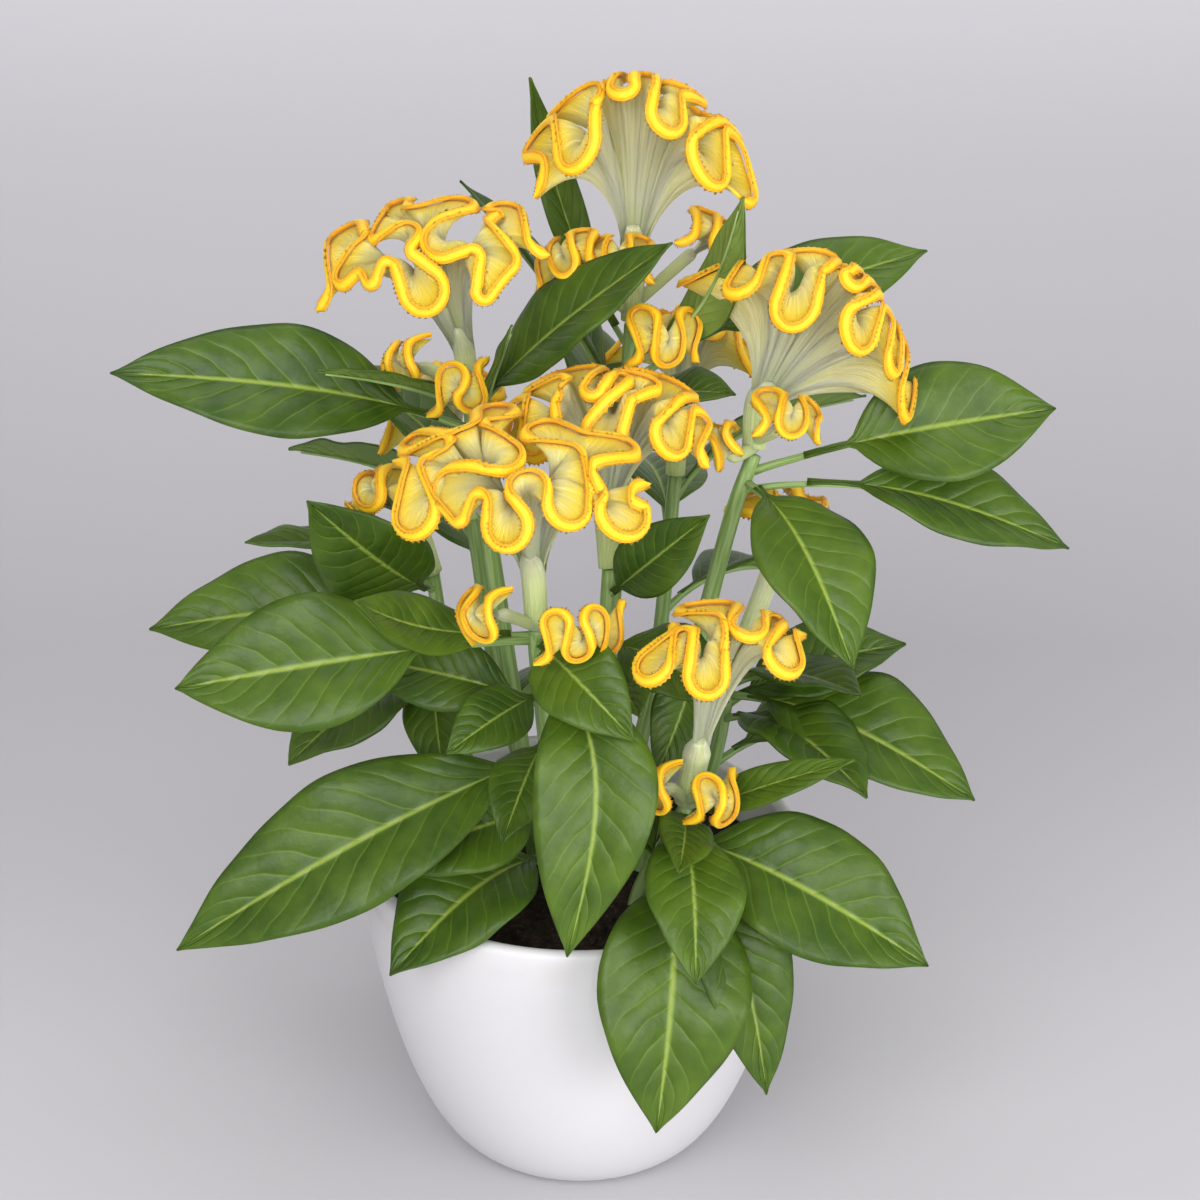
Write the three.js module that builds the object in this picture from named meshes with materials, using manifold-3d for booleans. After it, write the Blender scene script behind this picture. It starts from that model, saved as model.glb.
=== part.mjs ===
// Cockscomb celosia in a round white pot.
// Millimetres, +Z up. The origin is the middle of the pot's flat base.
// The plant's best side faces -Y, and +X is to that side's right.
//
// The pot holds a plug of soil. Ten leafy stems stand in plain holes in it.
// Each stem ends in a bloom: a stalk with one to three large combs and a few small ones.
// A comb is a fleshy cream fan, whose top edge is thrown into tight round folds, with a
// thick yellow crest running along the whole of that edge.
import * as THREE from 'three';
import Module from 'manifold-3d';

const wasm = await Module();
wasm.setup();

// ---- Driving dimensions ----
const GAP = 0.35;              // kept between neighbouring solids
const POT_RADIUS = 70;         // outside, at the rim
const POT_HEIGHT = 105.2;
const POT_WALL = 4.8;
const POT_FOOT_RADIUS = 33.3;
const SOIL_DEPTH = 15;         // from the rim down to the soil
const SOIL_CROWN = 3;          // the soil stands this much higher in the middle
const STEM_HOLE_DEPTH = 16;
const STEM_SIDES = 6;
const STALK_SIDES = 5;
const BLADE_THICKNESS = 0.8;
const CREST_HEIGHT = 3;
const CREST_GAP = 1;           // from the fan's edge up to the crest, which twists along it
const FOLD_ROUNDNESS = 0.52;   // a fold's radius as a share of the room it has on the line
const MIN_PEG = 1.2;           // the radius of the tightest fold
const ARC_SHARE = 0.9;         // a fold's arc as a share of the belt, the rest is straight runs
const BEND_REACH = 0.04;       // the share of the line, on each side, that its bend is read from
const END_CURL = 1.3;          // how far the crest's two ends curl round, in radians

// The form that every comb shares, from its neck (0) up to its crest (1).
const NECK_SHARE = 0.12;       // the neck's width as a share of the crest's
const FAN_POWER = 1.25;        // how the fan widens
const FOLD_POWER = 2.3;        // how late the folds open
const DOME_POWER = 1.5;        // how soon it has risen
const DOME_DEPTH = 3;          // how much sooner the top falls away through it than across it
const RISE_STEP = 0.08;        // how far below a point its rise is measured from
const LARGE_LEVELS = [
  { v: 0, thickness: 2.4 },
  { v: 0.62, thickness: 1.4 },
  { v: 1, thickness: 1.2, fine: true },
];
const SMALL_LEVELS = [
  { v: 0, thickness: 2 },
  { v: 0.6, thickness: 1.4 },
  { v: 1, thickness: 1.2, fine: true },
];

const LEAF_FOLD = 0.42;        // how steeply each half of a blade lifts from the midrib
const LEAF_CURL = 0.2;         // how much its edge turns down again
const LEAF_WAVE = 0.08;
const SMALL_LEAF = 20;         // a blade no wider than this has fewer steps along it
const LARGE_LEAF = 41;         // a blade wider than this has more points across it
const STEM_TAPER = 0.28;

const Z_UP = new THREE.Vector3(0, 0, 1);
const FRONT = new THREE.Vector3(0, -1, 0);
const COLOURS = {
  pot: 0xe8e6ea, soil: 0x2b211b, leaf: 0x4c7a2c, flank: 0xe8e3a8, crest: 0xf5b70c,
};

// ---- Small helpers ----
const vec = (p) => new THREE.Vector3(...p);
const mix = (a, b, t) => a + (b - a) * t;
const clamp01 = (t) => Math.min(1, Math.max(0, t));

// A repeatable draw between -1 and 1.
function draw(seed) {
  const x = Math.sin(seed * 127.1 + 311.7) * 43758.5453;
  return 2 * (x - Math.floor(x)) - 1;
}

function smoothCurve(points) {
  return new THREE.CatmullRomCurve3(points.map((p) => (p.isVector3 ? p : vec(p))), false, 'catmullrom', 0.5);
}

// ---- Closed solids ----
function solidOf(points, faces) {
  let volume = 0;
  for (const [a, b, c] of faces) {
    const cross = new THREE.Vector3().crossVectors(points[b], points[c]);
    volume += points[a].dot(cross);
  }
  const outward = volume < 0 ? faces.map(([a, b, c]) => [a, c, b]) : faces;
  const mesh = new wasm.Mesh({
    numProp: 3,
    vertProperties: new Float32Array(points.flatMap((p) => [p.x, p.y, p.z])),
    triVerts: new Uint32Array(outward.flat()),
  });
  return new wasm.Manifold(mesh);
}

// Skins a row of rings, all with the same count of points, and closes both ends.
// The second half of each ring is split along the same diagonals as the first half,
// so the two faces of a thin waved blade never cross.
function loft(rings) {
  const count = rings[0].length;
  const points = rings.flat();
  const faces = [];
  for (let i = 0; i + 1 < rings.length; i += 1) {
    for (let j = 0; j < count; j += 1) {
      const next = (j + 1) % count;
      const a = i * count + j;
      const b = i * count + next;
      const c = a + count;
      const d = b + count;
      if (j < count / 2) faces.push([a, b, d], [a, d, c]);
      else faces.push([a, b, c], [b, d, c]);
    }
  }
  const last = (rings.length - 1) * count;
  for (let j = 1; j + 1 < count; j += 1) {
    faces.push([0, j + 1, j], [last, last + j, last + j + 1]);
  }
  return solidOf(points, faces);
}

function fuse(solids) {
  let row = solids;
  while (row.length > 1) {
    const joined = [];
    for (let i = 0; i < row.length; i += 2) {
      joined.push(i + 1 < row.length ? row[i].add(row[i + 1]) : row[i]);
    }
    row = joined;
  }
  return row[0];
}

function solidOfGeometry(geometry) {
  const position = geometry.getAttribute('position');
  const keys = new Map();
  const points = [];
  const number = [];
  for (let i = 0; i < position.count; i += 1) {
    const p = new THREE.Vector3().fromBufferAttribute(position, i);
    const key = p.toArray().map((v) => Math.round(v * 1000)).join(',');
    if (!keys.has(key)) {
      keys.set(key, points.length);
      points.push(p);
    }
    number.push(keys.get(key));
  }
  const order = geometry.index ? Array.from(geometry.index.array, (i) => number[i]) : number;
  const faces = [];
  for (let i = 0; i < order.length; i += 3) {
    const [a, b, c] = order.slice(i, i + 3);
    if (a !== b && b !== c && a !== c) faces.push([a, b, c]);
  }
  return solidOf(points, faces);
}

// A round tapering tube along a curve.
function tube(curve, steps, radiusAt, sides = STEM_SIDES) {
  const rings = [];
  let side = new THREE.Vector3(1, 0, 0);
  for (let i = 0; i <= steps; i += 1) {
    const t = i / steps;
    const centre = curve.getPoint(t);
    const along = curve.getTangent(t);
    side = side.clone().addScaledVector(along, -side.dot(along)).normalize();
    const other = new THREE.Vector3().crossVectors(along, side);
    const ring = [];
    for (let j = 0; j < sides; j += 1) {
      const turn = (2 * Math.PI * j) / sides;
      ring.push(centre.clone()
        .addScaledVector(side, radiusAt(t) * Math.cos(turn))
        .addScaledVector(other, radiusAt(t) * Math.sin(turn)));
    }
    rings.push(ring);
  }
  return loft(rings);
}

function meshOf(name, solid, colour, roughness) {
  const data = solid.getMesh();
  const geometry = new THREE.BufferGeometry();
  const flat = [];
  for (let i = 0; i < data.numVert; i += 1) {
    flat.push(...data.vertProperties.slice(i * data.numProp, i * data.numProp + 3));
  }
  geometry.setAttribute('position', new THREE.Float32BufferAttribute(flat, 3));
  geometry.setIndex(Array.from(data.triVerts));
  const material = new THREE.MeshStandardMaterial({ color: colour, roughness, metalness: 0 });
  const mesh = new THREE.Mesh(geometry, material);
  mesh.name = name;
  return mesh;
}

// ---- Pot and soil ----
// The outside swells quickly out of a narrow foot and rises steeply to the rim.
const wallCurve = new THREE.CubicBezierCurve(
  new THREE.Vector2(POT_FOOT_RADIUS, 0),
  new THREE.Vector2(POT_FOOT_RADIUS + 17.8, 4.8),
  new THREE.Vector2(POT_RADIUS - 6.1, 50.3),
  new THREE.Vector2(POT_RADIUS, POT_HEIGHT - POT_WALL / 2),
);
const POT_SIDES = 32;
const SOIL_SIDES = 16;
const WALL_STEPS = 6;
const INNER_STEPS = [0.25, 0.45, 0.72];    // where the inside's profile has its points
const INNER_FOOT_RADIUS = POT_FOOT_RADIUS - 3;
const HOLE_CLEARANCE = 1.6;                // around each stem in the soil

function wallPoint(t, inwards) {
  const point = wallCurve.getPoint(t);
  const along = wallCurve.getTangent(t);
  return new THREE.Vector2(point.x - along.y * inwards, point.y + along.x * inwards);
}

function innerRadiusAt(z) {
  let t = 0;
  while (t < 1 && wallPoint(t, POT_WALL).y < z) t += 0.01;
  return wallPoint(t, POT_WALL).x;
}

function latheSolid(profile, sides) {
  return solidOfGeometry(new THREE.LatheGeometry(profile, sides).rotateX(Math.PI / 2));
}

function makePot() {
  const profile = [new THREE.Vector2(0, 0)];
  for (let i = 0; i <= WALL_STEPS; i += 1) profile.push(wallPoint(i / WALL_STEPS, 0));
  const lip = wallPoint(1, POT_WALL / 2);
  for (const turn of [30, 90, 150]) {
    const angle = THREE.MathUtils.degToRad(turn);
    const reach = POT_WALL / 2;
    profile.push(new THREE.Vector2(lip.x + reach * Math.cos(angle), lip.y + reach * Math.sin(angle)));
  }
  for (const t of [...INNER_STEPS, 1].reverse()) profile.push(wallPoint(t, POT_WALL));
  profile.push(new THREE.Vector2(INNER_FOOT_RADIUS, POT_WALL), new THREE.Vector2(0, POT_WALL));
  return latheSolid(profile, POT_SIDES);
}

const SOIL_TOP = POT_HEIGHT - SOIL_DEPTH;

function makeSoil(stems) {
  const floor = POT_WALL + GAP;
  const profile = [new THREE.Vector2(0, floor), new THREE.Vector2(INNER_FOOT_RADIUS - 3 * GAP, floor)];
  for (const t of INNER_STEPS) profile.push(wallPoint(t, POT_WALL + 2 * GAP));
  profile.push(new THREE.Vector2(innerRadiusAt(SOIL_TOP) - 4 * GAP, SOIL_TOP));
  profile.push(new THREE.Vector2(POT_RADIUS * 0.45, SOIL_TOP + SOIL_CROWN * 0.7));
  profile.push(new THREE.Vector2(0, SOIL_TOP + SOIL_CROWN));
  let soil = latheSolid(profile, SOIL_SIDES);
  const holeLength = 3 * STEM_HOLE_DEPTH;
  for (const stem of stems) {
    const [x, y] = stem.path[0];
    const radius = stem.radius + HOLE_CLEARANCE;
    const hole = new THREE.CylinderGeometry(radius, radius, holeLength, STEM_SIDES)
      .rotateX(Math.PI / 2).translate(x, y, SOIL_TOP - STEM_HOLE_DEPTH - GAP + holeLength / 2);
    soil = soil.subtract(solidOfGeometry(hole));
  }
  return soil;
}

// ---- Stems and leaves ----
// A stem starts straight up in its hole, then follows its listed path.
function stemCurve(stem) {
  const [x, y] = stem.path[0];
  return smoothCurve([[x, y, SOIL_TOP - STEM_HOLE_DEPTH], [x, y, SOIL_TOP + 6], ...stem.path.slice(1)]);
}

function pointAtHeight(curve, z) {
  let low = 0;
  let high = 1;
  for (let i = 0; i < 20; i += 1) {
    const middle = (low + high) / 2;
    if (curve.getPoint(middle).z < z) low = middle;
    else high = middle;
  }
  return curve.getPoint(low);
}

// How wide a blade is along its length: wedge-shaped at the stalk, widest before
// the middle, and drawn out to a fine tip.
const bladeShape = (t) => 4 * t ** 0.9 * (1 - t) ** 1.12;

// A leaf runs from its stem to its tip. Its midrib arches above the straight line
// between them and may sweep sideways, each half lifts from the midrib like a shallow V,
// and the edges wave. front says how far its face leans towards the plant's best side.
function makeLeaf(base, leaf, seed) {
  const tip = vec(leaf.tip);
  const chord = tip.clone().sub(base);
  const along = chord.clone().normalize();
  const outward = base.clone().add(tip).setZ(0).normalize();
  const face = Z_UP.clone().addScaledVector(outward, 0.7).addScaledVector(FRONT, leaf.front ?? 0.4);
  face.addScaledVector(along, -face.dot(along)).normalize();
  const across = new THREE.Vector3().crossVectors(face, along);
  const stalk = leaf.stalk ?? 0.16;
  const sweep = leaf.sweep ?? 0;
  const large = leaf.width > LARGE_LEAF;
  const steps = large ? 7 : leaf.width > SMALL_LEAF ? 6 : 4;
  const spots = large ? [-1, -0.5, 0, 0.5, 1] : [-1, 0, 1];
  const rings = [];
  for (let i = 0; i <= steps; i += 1) {
    const t = i / steps;
    const bow = Math.sin(Math.PI * t ** 0.85);
    const rib = base.clone().addScaledVector(chord, t)
      .addScaledVector(face, leaf.arch * bow)
      .addScaledVector(across, sweep * bow);
    const slope = chord.clone().addScaledVector(face, 3 * leaf.arch * (1 - 2 * t));
    const normal = new THREE.Vector3().crossVectors(slope, across).normalize();
    const blade = clamp01((t - stalk) / (1 - stalk));
    const half = Math.max(0.5 * leaf.width * bladeShape(blade), mix(1.6, 0.3, t));
    const thick = mix(2.4, BLADE_THICKNESS, clamp01(t / (stalk + 0.2)));
    const top = spots.map((spot) => {
      const reach = Math.abs(spot);
      const fold = (LEAF_FOLD * reach - LEAF_CURL * reach ** 3) * half;
      const wave = LEAF_WAVE * reach * half * Math.sin(2.3 * i + 1.7 * seed + spot);
      return rib.clone().addScaledVector(across, spot * half).addScaledVector(normal, fold + wave);
    });
    const under = top.map((p) => p.clone().addScaledVector(normal, -thick)).reverse();
    rings.push([...top, ...under]);
  }
  return loft(rings);
}

function makeStem(stem, seed) {
  const curve = stemCurve(stem);
  const solids = [tube(curve, 2 * stem.path.length, (t) => stem.radius * (1 - STEM_TAPER * t))];
  stem.leaves.forEach((leaf, i) => {
    solids.push(makeLeaf(pointAtHeight(curve, leaf.at), leaf, seed * 20 + i));
  });
  return fuse(solids);
}

// ---- Combs ----
// The crest is a belt drawn round a double row of pegs that stand to the left and right
// of a middle line in turn, so it runs in the round folds of ribbon candy. Where the
// line bends, the pegs on its inner side are slimmer, so that no two folds touch.
function pegsOf(comb) {
  const line = lineOf(comb);
  const spacing = line.getLength() / comb.folds;
  const pegs = [];
  for (let i = 0; i < comb.folds; i += 1) {
    const s = (i + 0.5) / comb.folds;
    const at = line.getPointAt(s);
    const along = line.getTangentAt(s);
    const before = line.getTangentAt(Math.max(0, s - BEND_REACH));
    const after = line.getTangentAt(Math.min(1, s + BEND_REACH));
    const bend = before.cross(after).z / (2 * BEND_REACH * line.getLength());
    const side = (i + (comb.start ?? 0)) % 2 ? 1 : -1;
    const reach = side * comb.swing * (1 + 0.15 * draw(i + comb.seed));
    const radius = FOLD_ROUNDNESS * spacing * (1 - bend * reach);
    pegs.push({
      centre: new THREE.Vector2(at.x - along.y * reach, at.y + along.x * reach),
      radius: -side * Math.max(MIN_PEG, radius),
    });
  }
  return pegs;
}

function lineOf(comb) {
  return smoothCurve(comb.line.map(([u, w]) => [u, w, 0]));
}

// The direction of the straight run from one peg to the next.
function runAngle(from, to) {
  const gap = to.centre.clone().sub(from.centre);
  const lean = (to.radius - from.radius) / gap.length();
  return Math.atan2(gap.y, gap.x) - Math.asin(Math.min(0.98, Math.max(-0.98, lean)));
}

// Each point of the belt keeps the point of the middle line that it folds out from and
// its place along the belt, counted in pegs.
function beltOf(comb) {
  const line = lineOf(comb);
  const pegs = pegsOf(comb);
  const angles = pegs.slice(1).map((peg, i) => runAngle(pegs[i], peg));
  const belt = [];
  pegs.forEach((peg, i) => {
    const turning = Math.sign(peg.radius);
    const first = i > 0 ? angles[i - 1] : angles[0] - turning * END_CURL;
    const last = i < angles.length ? angles[i] : angles[i - 1] + turning * END_CURL;
    const sweep = THREE.MathUtils.euclideanModulo((last - first) * turning, 2 * Math.PI);
    for (let k = 0; k <= comb.arcSteps; k += 1) {
      const angle = first + turning * sweep * (k / comb.arcSteps);
      const spot = new THREE.Vector2(Math.sin(angle), -Math.cos(angle)).multiplyScalar(peg.radius);
      const place = i + 0.5 + ARC_SHARE * (k / comb.arcSteps - 0.5);
      belt.push({
        crest: spot.add(peg.centre), middle: line.getPointAt(clamp01(place / comb.folds)), place,
      });
    }
  });
  return belt;
}

// A comb's own axes, across it, through it and up it, and its half width.
function frameOf(comb) {
  const up = vec(comb.up).normalize();
  const across = vec(comb.across ?? [1, 0, 0]);
  across.addScaledVector(up, -across.dot(up)).normalize();
  const through = new THREE.Vector3().crossVectors(up, across);
  const spread = Math.max(...comb.line.map(([u, w]) => Math.hypot(u, w)));
  return { up, across, through, spread };
}

// A point of the fan: v is 0 at the neck and 1 under the crest. The folds open out
// only near the top, where the fan flares like a trumpet.
function fanPoint(comb, frame, spot, v) {
  const open = v ** FOLD_POWER;
  const share = mix(NECK_SHARE, 1, v ** FAN_POWER);
  const u = mix(spot.middle.x, spot.crest.x, open) * share;
  const w = mix(spot.middle.y, spot.crest.y, open) * share;
  const far = (spot.crest.x ** 2 + DOME_DEPTH * spot.crest.y ** 2) / frame.spread ** 2;
  const height = (comb.height - comb.droop * far) * (1 - (1 - v) ** DOME_POWER);
  return vec(comb.neck)
    .addScaledVector(frame.across, u)
    .addScaledVector(frame.through, w)
    .addScaledVector(frame.up, height);
}

// The middle sheet of a fan: its rows of points, each with the sheet's normal there and
// the way the fan rises, and its triangles. Below the crest a row has one point a fold.
function sheetOf(comb) {
  const frame = frameOf(comb);
  const belt = beltOf(comb);
  const middleOfArc = Math.round(comb.arcSteps / 2);
  const coarse = belt.filter((spot, i) => (
    i === 0 || i === belt.length - 1 || i % (comb.arcSteps + 1) === middleOfArc
  ));
  let count = 0;
  const rows = comb.levels.map(({ v, thickness, fine }) => (
    (fine ? belt : coarse).map((spot) => {
      const at = fanPoint(comb, frame, spot, v);
      const rise = at.clone().sub(fanPoint(comb, frame, spot, Math.max(0, v - RISE_STEP)));
      count += 1;
      return { at, rise, place: spot.place, thickness, number: count - 1, normal: new THREE.Vector3() };
    })
  ));
  const triangles = [];
  for (let level = 0; level + 1 < rows.length; level += 1) {
    zip(rows[level], rows[level + 1], (...corners) => {
      const sides = corners.map((corner, i) => corners[(i + 1) % 3].at.clone().sub(corner.at));
      const normal = sides[0].clone().cross(sides[1]).normalize();
      corners.forEach((corner, i) => {
        corner.normal.addScaledVector(normal, Math.PI - sides[i].angleTo(sides[(i + 2) % 3]));
      });
      triangles.push(corners);
    });
  }
  for (const spot of rows.flat()) {
    spot.normal.normalize();
    spot.rise.addScaledVector(spot.normal, -spot.rise.dot(spot.normal)).normalize();
  }
  return { rows, triangles };
}

// The fan is that sheet with two faces, both split into triangles alike.
function makeFan(comb) {
  const { rows, triangles } = sheetOf(comb);
  const points = rows.flat().flatMap(({ at, normal, thickness }) => [
    at.clone().addScaledVector(normal, thickness / 2),
    at.clone().addScaledVector(normal, -thickness / 2),
  ]);
  const front = (spot) => 2 * spot.number;
  const back = (spot) => 2 * spot.number + 1;
  const faces = [];
  for (const [a, b, c] of triangles) {
    faces.push([front(a), front(b), front(c)], [back(a), back(c), back(b)]);
  }
  const edge = [
    ...rows[0], ...rows.slice(1, -1).map((row) => row.at(-1)),
    ...rows.at(-1).toReversed(), ...rows.slice(1, -1).map((row) => row[0]).toReversed(),
  ];
  edge.forEach((a, i) => {
    const b = edge[(i + 1) % edge.length];
    faces.push([front(b), front(a), back(a)], [front(b), back(a), back(b)]);
  });
  return solidOf(points, faces);
}

// Fills the strip between two rows with triangles, always stepping along the row that
// is behind.
function zip(lower, upper, addFace) {
  let i = 0;
  let j = 0;
  while (i + 1 < lower.length || j + 1 < upper.length) {
    const lowerNext = i + 1 < lower.length ? lower[i].place + lower[i + 1].place : Infinity;
    const upperNext = j + 1 < upper.length ? upper[j].place + upper[j + 1].place : Infinity;
    if (upperNext <= lowerNext) {
      addFace(lower[i], upper[j + 1], upper[j]);
      j += 1;
    } else {
      addFace(lower[i], lower[i + 1], upper[j]);
      i += 1;
    }
  }
}

// The crest lies on the fan's edge: flat below, and drawn in to a ridge along its middle.
function makeCrest(comb) {
  const { rows } = sheetOf(comb);
  return loft(rows.at(-1).map((spot) => {
    const point = (out, rise) => spot.at.clone()
      .addScaledVector(spot.normal, out * comb.crestWidth)
      .addScaledVector(spot.rise, rise);
    return [point(0.5, CREST_GAP), point(-0.5, CREST_GAP), point(0, CREST_HEIGHT)];
  }));
}

function stalk(points, radiusAt) {
  return tube(smoothCurve(points), 2, radiusAt, STALK_SIDES);
}

// A bloom's stalk runs from just above its leafy stem to the neck of the fan, and its
// other combs stand on short stalks of their own that spring from it.
function makeBloom(bloom) {
  const [main, ...others] = bloom.combs;
  const foot = vec(bloom.foot);
  const neck = vec(main.neck);
  const tip = (comb, rise) => vec(comb.neck).addScaledVector(vec(comb.up).normalize(), rise);
  const solids = [makeFan(main)];
  solids.push(stalk([foot, neck, tip(main, 6)], (t) => main.neckRadius * mix(0.8, 1, t)));
  for (const comb of others) {
    const root = foot.clone().lerp(neck, comb.from);
    solids.push(stalk([root, vec(comb.neck), tip(comb, 4)], () => comb.neckRadius));
    solids.push(makeFan(comb));
  }
  return fuse(solids);
}

// ---- The plant ----
// A stem's path is its middle line above the soil. A leaf leaves its stem at the height
// at, and arch, sweep and width are in millimetres.
const STEMS = [
  {
    name: 'top', radius: 3.4, path: [[4, 6], [9, 10, 170], [14, 16, 235], [16, 19, 270]],
    leaves: [
      { at: 262, tip: [-14, 32, 342], width: 13, arch: -12, front: 1.2 },
      { at: 260, tip: [47, -12, 321], width: 17, arch: 3, front: 0.4, sweep: 8 },
      { at: 242, tip: [46, -4, 257], width: 20, arch: 4, front: 0.8 },
      { at: 252, tip: [106, 54, 280], width: 30, arch: 8, front: 0.6, stalk: 0.3 },
      { at: 238, tip: [-36, 58, 301], width: 30, arch: 5, front: 0.2 },
      { at: 215, tip: [-12, 100, 246], width: 30, arch: 10, front: -0.4 },
    ],
  },
  {
    name: 'upper_left', radius: 3.2, path: [[-14, 8], [-22, 12, 160], [-30, 14, 225], [-33, 15, 251]],
    leaves: [
      { at: 245, tip: [-75, -22, 272], width: 15, arch: 2, front: 0.3 },
      { at: 243, tip: [27, -14, 308], width: 26, arch: 4, front: 0.9 },
      { at: 238, tip: [-137, -2, 263], width: 36, arch: 10, front: 0.9, stalk: 0.2 },
      { at: 228, tip: [-19, -12, 282], width: 9, arch: 2, front: 0.4 },
      { at: 208, tip: [-88, 66, 240], width: 34, arch: 10, front: -0.3 },
    ],
  },
  {
    name: 'right', radius: 3.2, path: [[20, 3], [33, -3, 160], [45, -4, 215], [52, 0, 236]],
    leaves: [
      { at: 231, tip: [141, 2, 250], width: 38, arch: 7, front: 0.9, stalk: 0.34 },
      { at: 226, tip: [146, -8, 209], width: 30, arch: 12, front: 0.5, stalk: 0.34 },
      { at: 229, tip: [79, -57, 194], width: 36, arch: 9, front: 0.9 },
      { at: 176, tip: [23, -34, 146], width: 20, arch: 5, front: 0.7 },
    ],
  },
  {
    name: 'middle', radius: 2.8, path: [[2, -8], [6, -14, 150], [9, -14, 205]],
    leaves: [
      { at: 196, tip: [38, -34, 232], width: 20, arch: 4, front: 0.6 },
      { at: 180, tip: [44, -44, 176], width: 26, arch: 6, front: 0.5 },
      { at: 168, tip: [18, -56, 178], width: 20, arch: 5, front: 0.7 },
      { at: 138, tip: [22, -60, 134], width: 20, arch: 7, front: 0.6 },
    ],
  },
  {
    name: 'front', radius: 3.2, path: [[-6, -18], [-9, -30, 150], [-12, -37, 188], [-12, -39, 198]],
    leaves: [
      { at: 194, tip: [-116, -58, 188], width: 40, arch: 9, front: 1, stalk: 0.34 },
      { at: 196, tip: [-62, -78, 226], width: 18, arch: -12, front: 0.6 },
      { at: 190, tip: [-3, -94, 120], width: 36, arch: 18, front: 0.5, sweep: 14 },
      { at: 193, tip: [16, -78, 182], width: 26, arch: 8, front: 0.9 },
      { at: 152, tip: [-120, -58, 100], width: 42, arch: 12, front: 1, stalk: 0.1 },
      { at: 170, tip: [-68, -26, 182], width: 24, arch: 6, front: 0.4 },
      { at: 128, tip: [-58, -54, 126], width: 30, arch: 8, front: 0.6 },
      { at: 110, tip: [-56, -66, 96], width: 38, arch: 12, front: 0.2 },
      { at: 174, tip: [-38, -64, 170], width: 20, arch: 4, front: 0.8 },
      { at: 158, tip: [-22, -70, 144], width: 20, arch: 4, front: 0.8 },
    ],
  },
  {
    name: 'front_right', radius: 3, path: [[18, -22], [27, -35, 125], [32, -45, 142]],
    leaves: [
      { at: 122, tip: [23, -92, 58], width: 46, arch: 19, front: 0.4 },
      { at: 136, tip: [34, -93, 110], width: 30, arch: 8, front: 0.6 },
      { at: 120, tip: [56, -78, 62], width: 30, arch: 22, front: 0.4 },
      { at: 128, tip: [104, -64, 98], width: 42, arch: 11, front: 0.8, stalk: 0.12 },
      { at: 134, tip: [80, -64, 168], width: 12, arch: 4, front: 0.4 },
      { at: 138, tip: [29, -84, 142], width: 18, arch: 3, front: 0.8 },
    ],
  },
  {
    name: 'low_right', radius: 2.9, path: [[31, 10], [42, 14, 125], [47, 16, 154]],
    leaves: [
      { at: 148, tip: [120, -24, 132], width: 40, arch: 9, front: 0.8 },
      { at: 140, tip: [86, -40, 142], width: 34, arch: 8, front: 0.7 },
      { at: 151, tip: [84, -28, 170], width: 28, arch: 5, front: 0.7 },
      { at: 144, tip: [101, 16, 165], width: 28, arch: 6, front: 0.5 },
      { at: 124, tip: [98, 44, 104], width: 38, arch: 14, front: 0 },
    ],
  },
  {
    name: 'left', radius: 3, path: [[-30, 8], [-40, 14, 150], [-45, 19, 188]],
    leaves: [
      { at: 174, tip: [-132, 12, 172], width: 36, arch: 8, front: 0.9 },
      { at: 184, tip: [-99, -10, 212], width: 24, arch: 5, front: 0.4 },
      { at: 182, tip: [-79, -22, 231], width: 32, arch: 5, front: 1 },
      { at: 158, tip: [-88, -20, 142], width: 36, arch: 7, front: 0.7 },
      { at: 138, tip: [-104, 36, 126], width: 36, arch: 12, front: 0 },
      { at: 166, tip: [-40, -30, 140], width: 20, arch: 5, front: 0.8 },
    ],
  },
  {
    name: 'back_right', radius: 3, path: [[14, 32], [24, 46, 140], [30, 54, 205]],
    leaves: [
      { at: 198, tip: [92, 92, 216], width: 34, arch: 8, front: -0.4 },
      { at: 182, tip: [10, 134, 176], width: 38, arch: 12, front: -0.4 },
      { at: 160, tip: [94, 98, 138], width: 40, arch: 14, front: -0.4 },
      { at: 126, tip: [38, 118, 80], width: 40, arch: 20, front: -0.4 },
    ],
  },
  {
    name: 'back_left', radius: 3, path: [[-14, 32], [-26, 46, 135], [-34, 54, 190]],
    leaves: [
      { at: 184, tip: [-94, 86, 200], width: 34, arch: 8, front: -0.4 },
      { at: 168, tip: [-44, 128, 158], width: 38, arch: 12, front: -0.4 },
      { at: 140, tip: [-96, 76, 106], width: 40, arch: 14, front: -0.4 },
      { at: 118, tip: [-26, 114, 78], width: 40, arch: 20, front: -0.4 },
    ],
  },
];

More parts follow.
